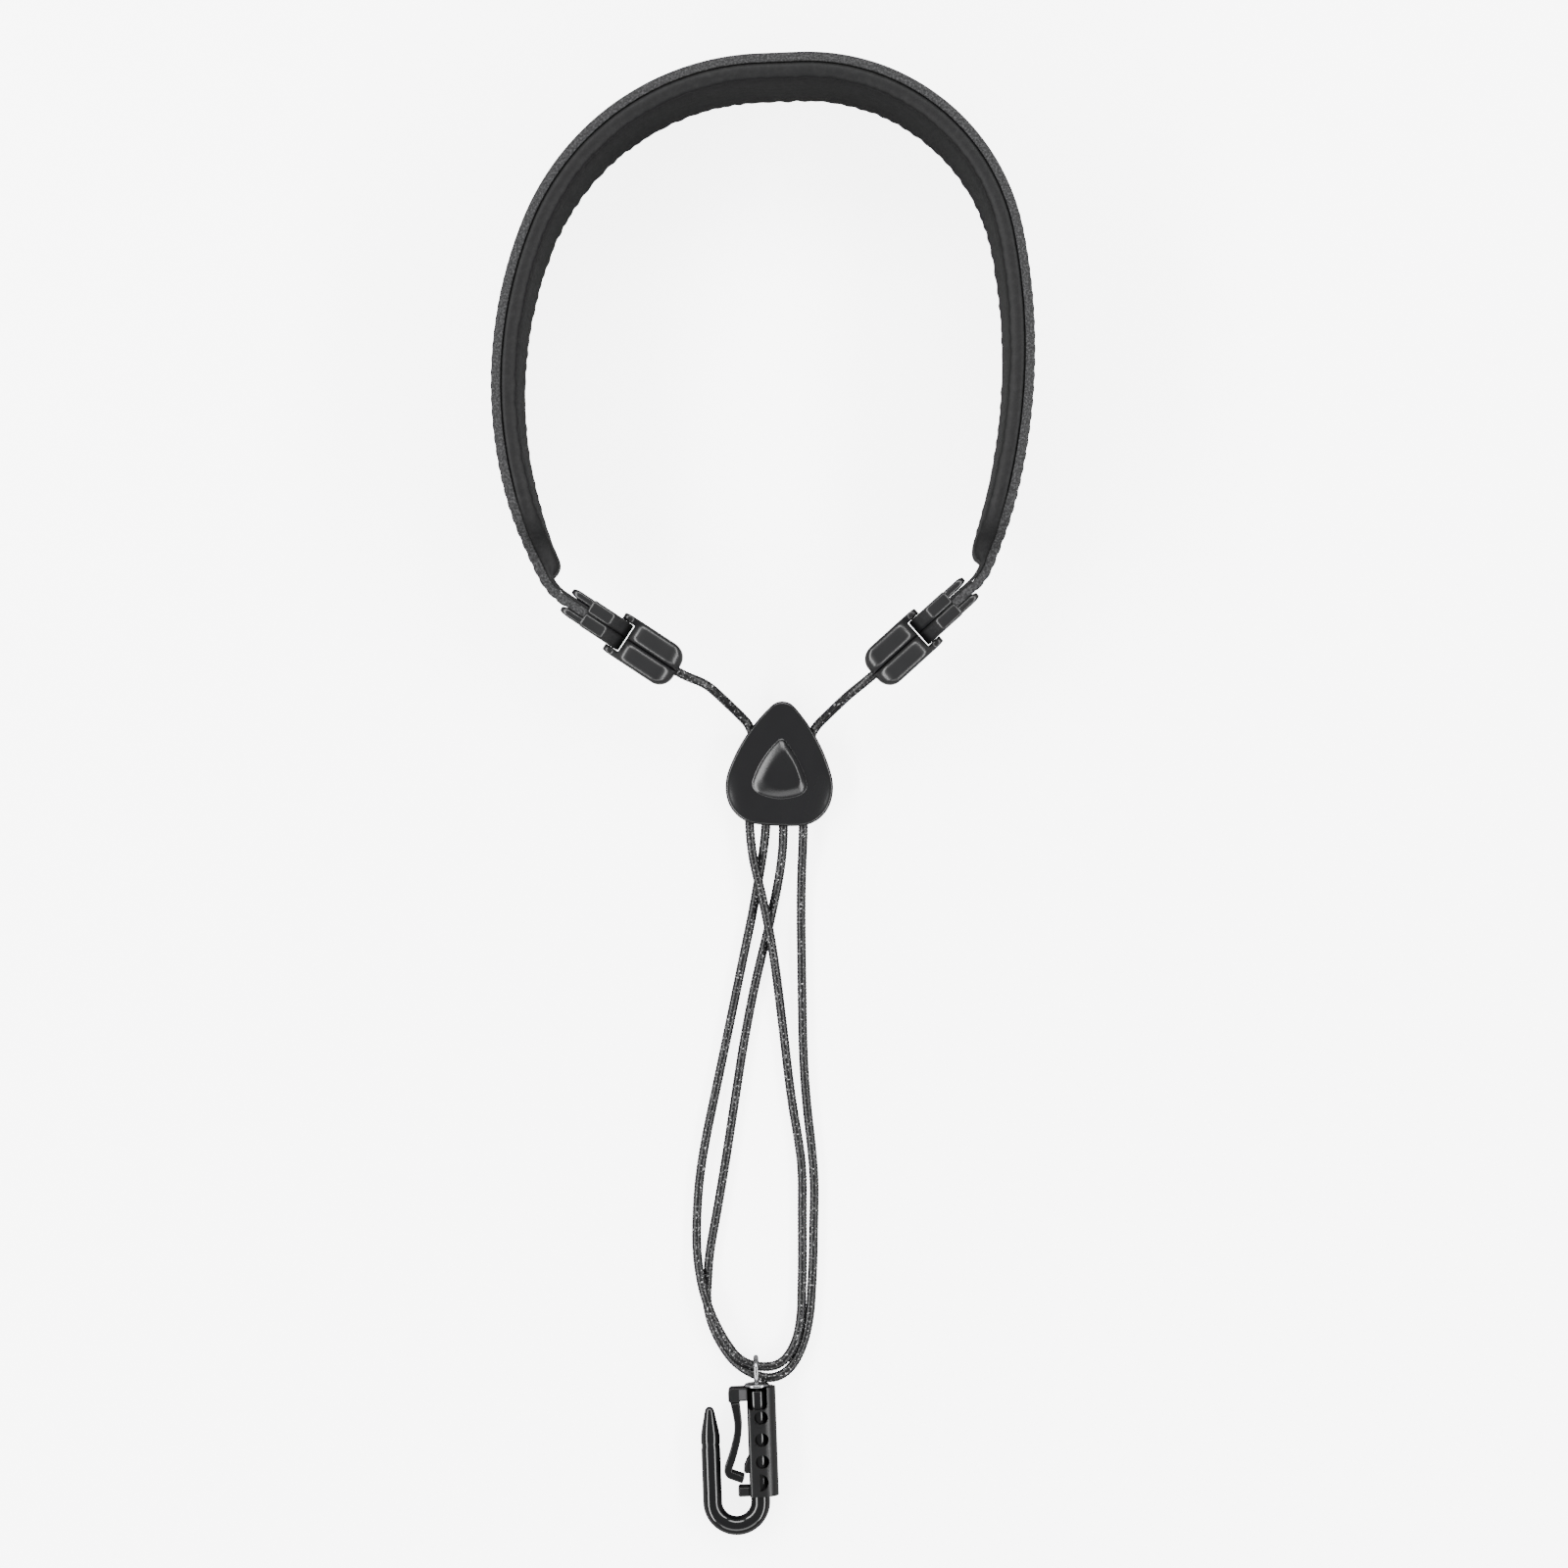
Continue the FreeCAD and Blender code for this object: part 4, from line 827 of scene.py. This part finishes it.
def build_sleeve():
    """The sleeve on the shank, round on one side, and the tools for its openings in front."""
    r, corner = SLEEVE_RADIUS, SLEEVE_CORNER
    section = arc_points(SLEEVE_ROUND_X, 0, r, 90, -90, 24)
    section += arc_points(SLEEVE_BACK_X + corner, corner - r, corner, -90, -180, 6)
    section += arc_points(SLEEVE_BACK_X + corner, r - corner, corner, 180, 90, 6)
    upright = Matrix.Rotation(radians(90), 4, "X")
    made = prism("Sleeve", section, SLEEVE_TOP, SLEEVE_FOOT, SLEEVE)
    made.data.transform(upright)
    half, top, low, turn = 3.3, -4, -12.5, 1.5
    notch = [(half, top), (-half, top)] + arc_points(turn - half, low + turn, turn, 180, 270, 6)
    notch += arc_points(half - turn, low + turn, turn, 270, 360, 6)
    tools = [cutter("Notch", notch)]
    for i in range(3):
        tools.append(cutter(f"Hole {i}", arc_points(1.1, -15.1 - 7.4 * i, 2.3, 0, 360, 32)[:-1]))
    tools.append(cutter("Window", arc_points(0, -36.8, 2.9, 90, -90, 20)))
    bore = prism("Bore", arc_points(0, 0, 3.22, 0, 360, 48)[:-1], 4, 44, HOOK)
    bore.data.transform(upright)
    return made, tools + [bore]


def cut_away(made, tools):
    """Cuts the tools out of a piece for good, and removes them."""
    for tool in tools:
        modifier = made.modifiers.new("Cut", "BOOLEAN")
        modifier.object = tool
        modifier.solver = "EXACT"
    graph = bpy.context.evaluated_depsgraph_get()
    mesh = bpy.data.meshes.new_from_object(made.evaluated_get(graph))
    made.modifiers.clear()
    made.data = mesh
    for tool in tools:
        bpy.data.objects.remove(tool)


def latch_sides():
    """Both sides of the arm's line, which runs down from its pin and round to its toe."""
    point, heading = LATCH_PIVOT.copy(), -85.0
    line = []
    for length, turn in LATCH_RUNS:
        for _ in range(12):
            line.append((point.copy(), heading))
            a = radians(heading - turn / 24)
            point += length / 12 * Vector((cos(a), sin(a), 0))
            heading -= turn / 12
    line.append((point, heading))
    left, right = [], []
    for i, (at, h) in enumerate(line):
        across = Vector((sin(radians(h)), -cos(radians(h)), 0))
        flare = max(0.0, 1 - i / 15) ** 2
        left.append((at + (LATCH_HALF + flare) * across)[:2])
        right.append((at - LATCH_HALF * across)[:2])
    return left, right


EARS = [(-3.3, -5.2)] + arc_points(-8.3, -6.6, 1.4, 90, 180, 8)
EARS += [(-9.7, -9.3), (-9.3, -9.8), (-6.2, -9.9), (-5.8, -9.5), (-3.3, -9.4)]
LIP = [(-7.4, -38.3), (-3.3, -38.3), (-3.3, -41.5), (-7.4, -41.5)]
FLARE = [(-3.3, -28.0), (-4.3, -29.6), (-5.2, -31.6), (-5.3, -33.0), (-4.8, -33.7), (-3.3, -33.7)]
BRIDGE = [(-6.0, -5.6), (-3.4, -5.6), (-3.4, -9.0), (-6.0, -9.0)]

eye, shank = build_eye()
place(eye, hook_frame, "swivel_ring", "swivel_eye")
place(shank, hook_frame, "swivel_ring")
place(build_collar(), hook_frame, "swivel_ring", "swivel_collar")
place(build_rod(), hook_frame, "hook", "hook_rod")
sleeve, tools = build_sleeve()
cut_away(sleeve, tools)
round_off(sleeve, 0.28)
place(sleeve, hook_frame, "hook", "latch_sleeve")
for name, outline, low, high, finish, bevel in (
    ("Latch ear upper", EARS, 2.2, 3.6, SLEEVE, 0.4),
    ("Latch ear lower", EARS, -3.6, -2.2, SLEEVE, 0.4),
    ("Latch lip", LIP, -3.5, 3.5, SLEEVE, 0.6),
    ("Latch flare", FLARE, -3.5, 3.5, SLEEVE, 0.4),
    # The bridge's lighter grey is a painted highlight on the latch root.
    ("Latch bridge painted highlight", BRIDGE, 3.2, 3.75, PAINTED_HIGHLIGHT_PLASTIC, 0.1),
):
    place(prism(name, outline, low, high, finish, bevel), hook_frame, "hook")

left, right = latch_sides()
arm = prism("Latch arm", left[4:] + right[:3:-1], -3.5, 3.5, HOOK, 0.45)
place(arm, hook_frame, "latch", "latch_arm")
head = arc_points(LATCH_PIVOT.x, LATCH_PIVOT.y, 1.6, 20, 160, 10)
root = prism("Latch root", left[:6] + right[5::-1] + head, -2.1, 2.1, HOOK, 0.2)
place(root, hook_frame, "latch")

# ------------------------------------------------------------------ floor and light


def area_light(name, location, aim, size, power):
    """A soft rectangle of light, aimed at a point on the floor."""
    data = bpy.data.lights.new(name, "AREA")
    data.shape = "RECTANGLE"
    data.size, data.size_y = size
    data.energy = power
    lamp = bpy.data.objects.new(name, data)
    lamp.location = location
    lamp.rotation_euler = (Vector(aim) - Vector(location)).to_track_quat("-Z", "Y").to_euler()
    scene.collection.objects.link(lamp)


area_light("Left softbox", (-1.1, -0.1, 0.95), (0, -0.05, 0), (2.6, 0.36), 52)
area_light("Right softbox", (1.1, -0.1, 0.95), (0, -0.05, 0), (2.6, 0.3), 40)
area_light("Top softbox", (0.0, 1.2, 1.1), (0, 0.05, 0), (1.4, 0.5), 26)
area_light("Front softbox", (0.1, -1.3, 1.0), (0, 0, 0), (1.4, 0.5), 9)

world = bpy.data.worlds.new("World")
scene.world = world
world.use_nodes = True
backdrop = world.node_tree.nodes["Background"]
backdrop.inputs["Color"].default_value = (1, 1, 1, 1)
backdrop.inputs["Strength"].default_value = 0.42


def floor_material():
    """White where the camera looks, and a darker grey for the light that comes off it."""
    made = bpy.data.materials.new("Floor")
    made.use_nodes = True
    tree = made.node_tree
    shader = tree.nodes["Principled BSDF"]
    shader.inputs["Roughness"].default_value = 0.9
    rays = add_node(tree, "ShaderNodeLightPath")
    tone = add_node(tree, "ShaderNodeMix", data_type="RGBA")
    tone.inputs[6].default_value = (0.22, 0.22, 0.22, 1)
    tone.inputs[7].default_value = (0.95, 0.95, 0.95, 1)
    glow = add_node(tree, "ShaderNodeMath", operation="MULTIPLY")
    glow.inputs[1].default_value = 5.0
    shader.inputs["Emission Color"].default_value = (1, 1, 1, 1)
    link(tree, rays.outputs["Is Camera Ray"], tone.inputs[0])
    link(tree, tone.outputs[2], shader.inputs["Base Color"])
    link(tree, rays.outputs["Is Camera Ray"], glow.inputs[0])
    link(tree, glow.outputs[0], shader.inputs["Emission Strength"])
    return made


FLOOR_REACH, FLOOR_Z = 4, -0.0002
corners = [(x * FLOOR_REACH, y * FLOOR_REACH, FLOOR_Z) for x, y in ((-1, -1), (1, -1), (1, 1), (-1, 1))]
floor_mesh = bpy.data.meshes.new("Floor")
floor_mesh.from_pydata(corners, [], [(0, 1, 2, 3)])
floor = add_object("Floor", floor_mesh, floor_material())
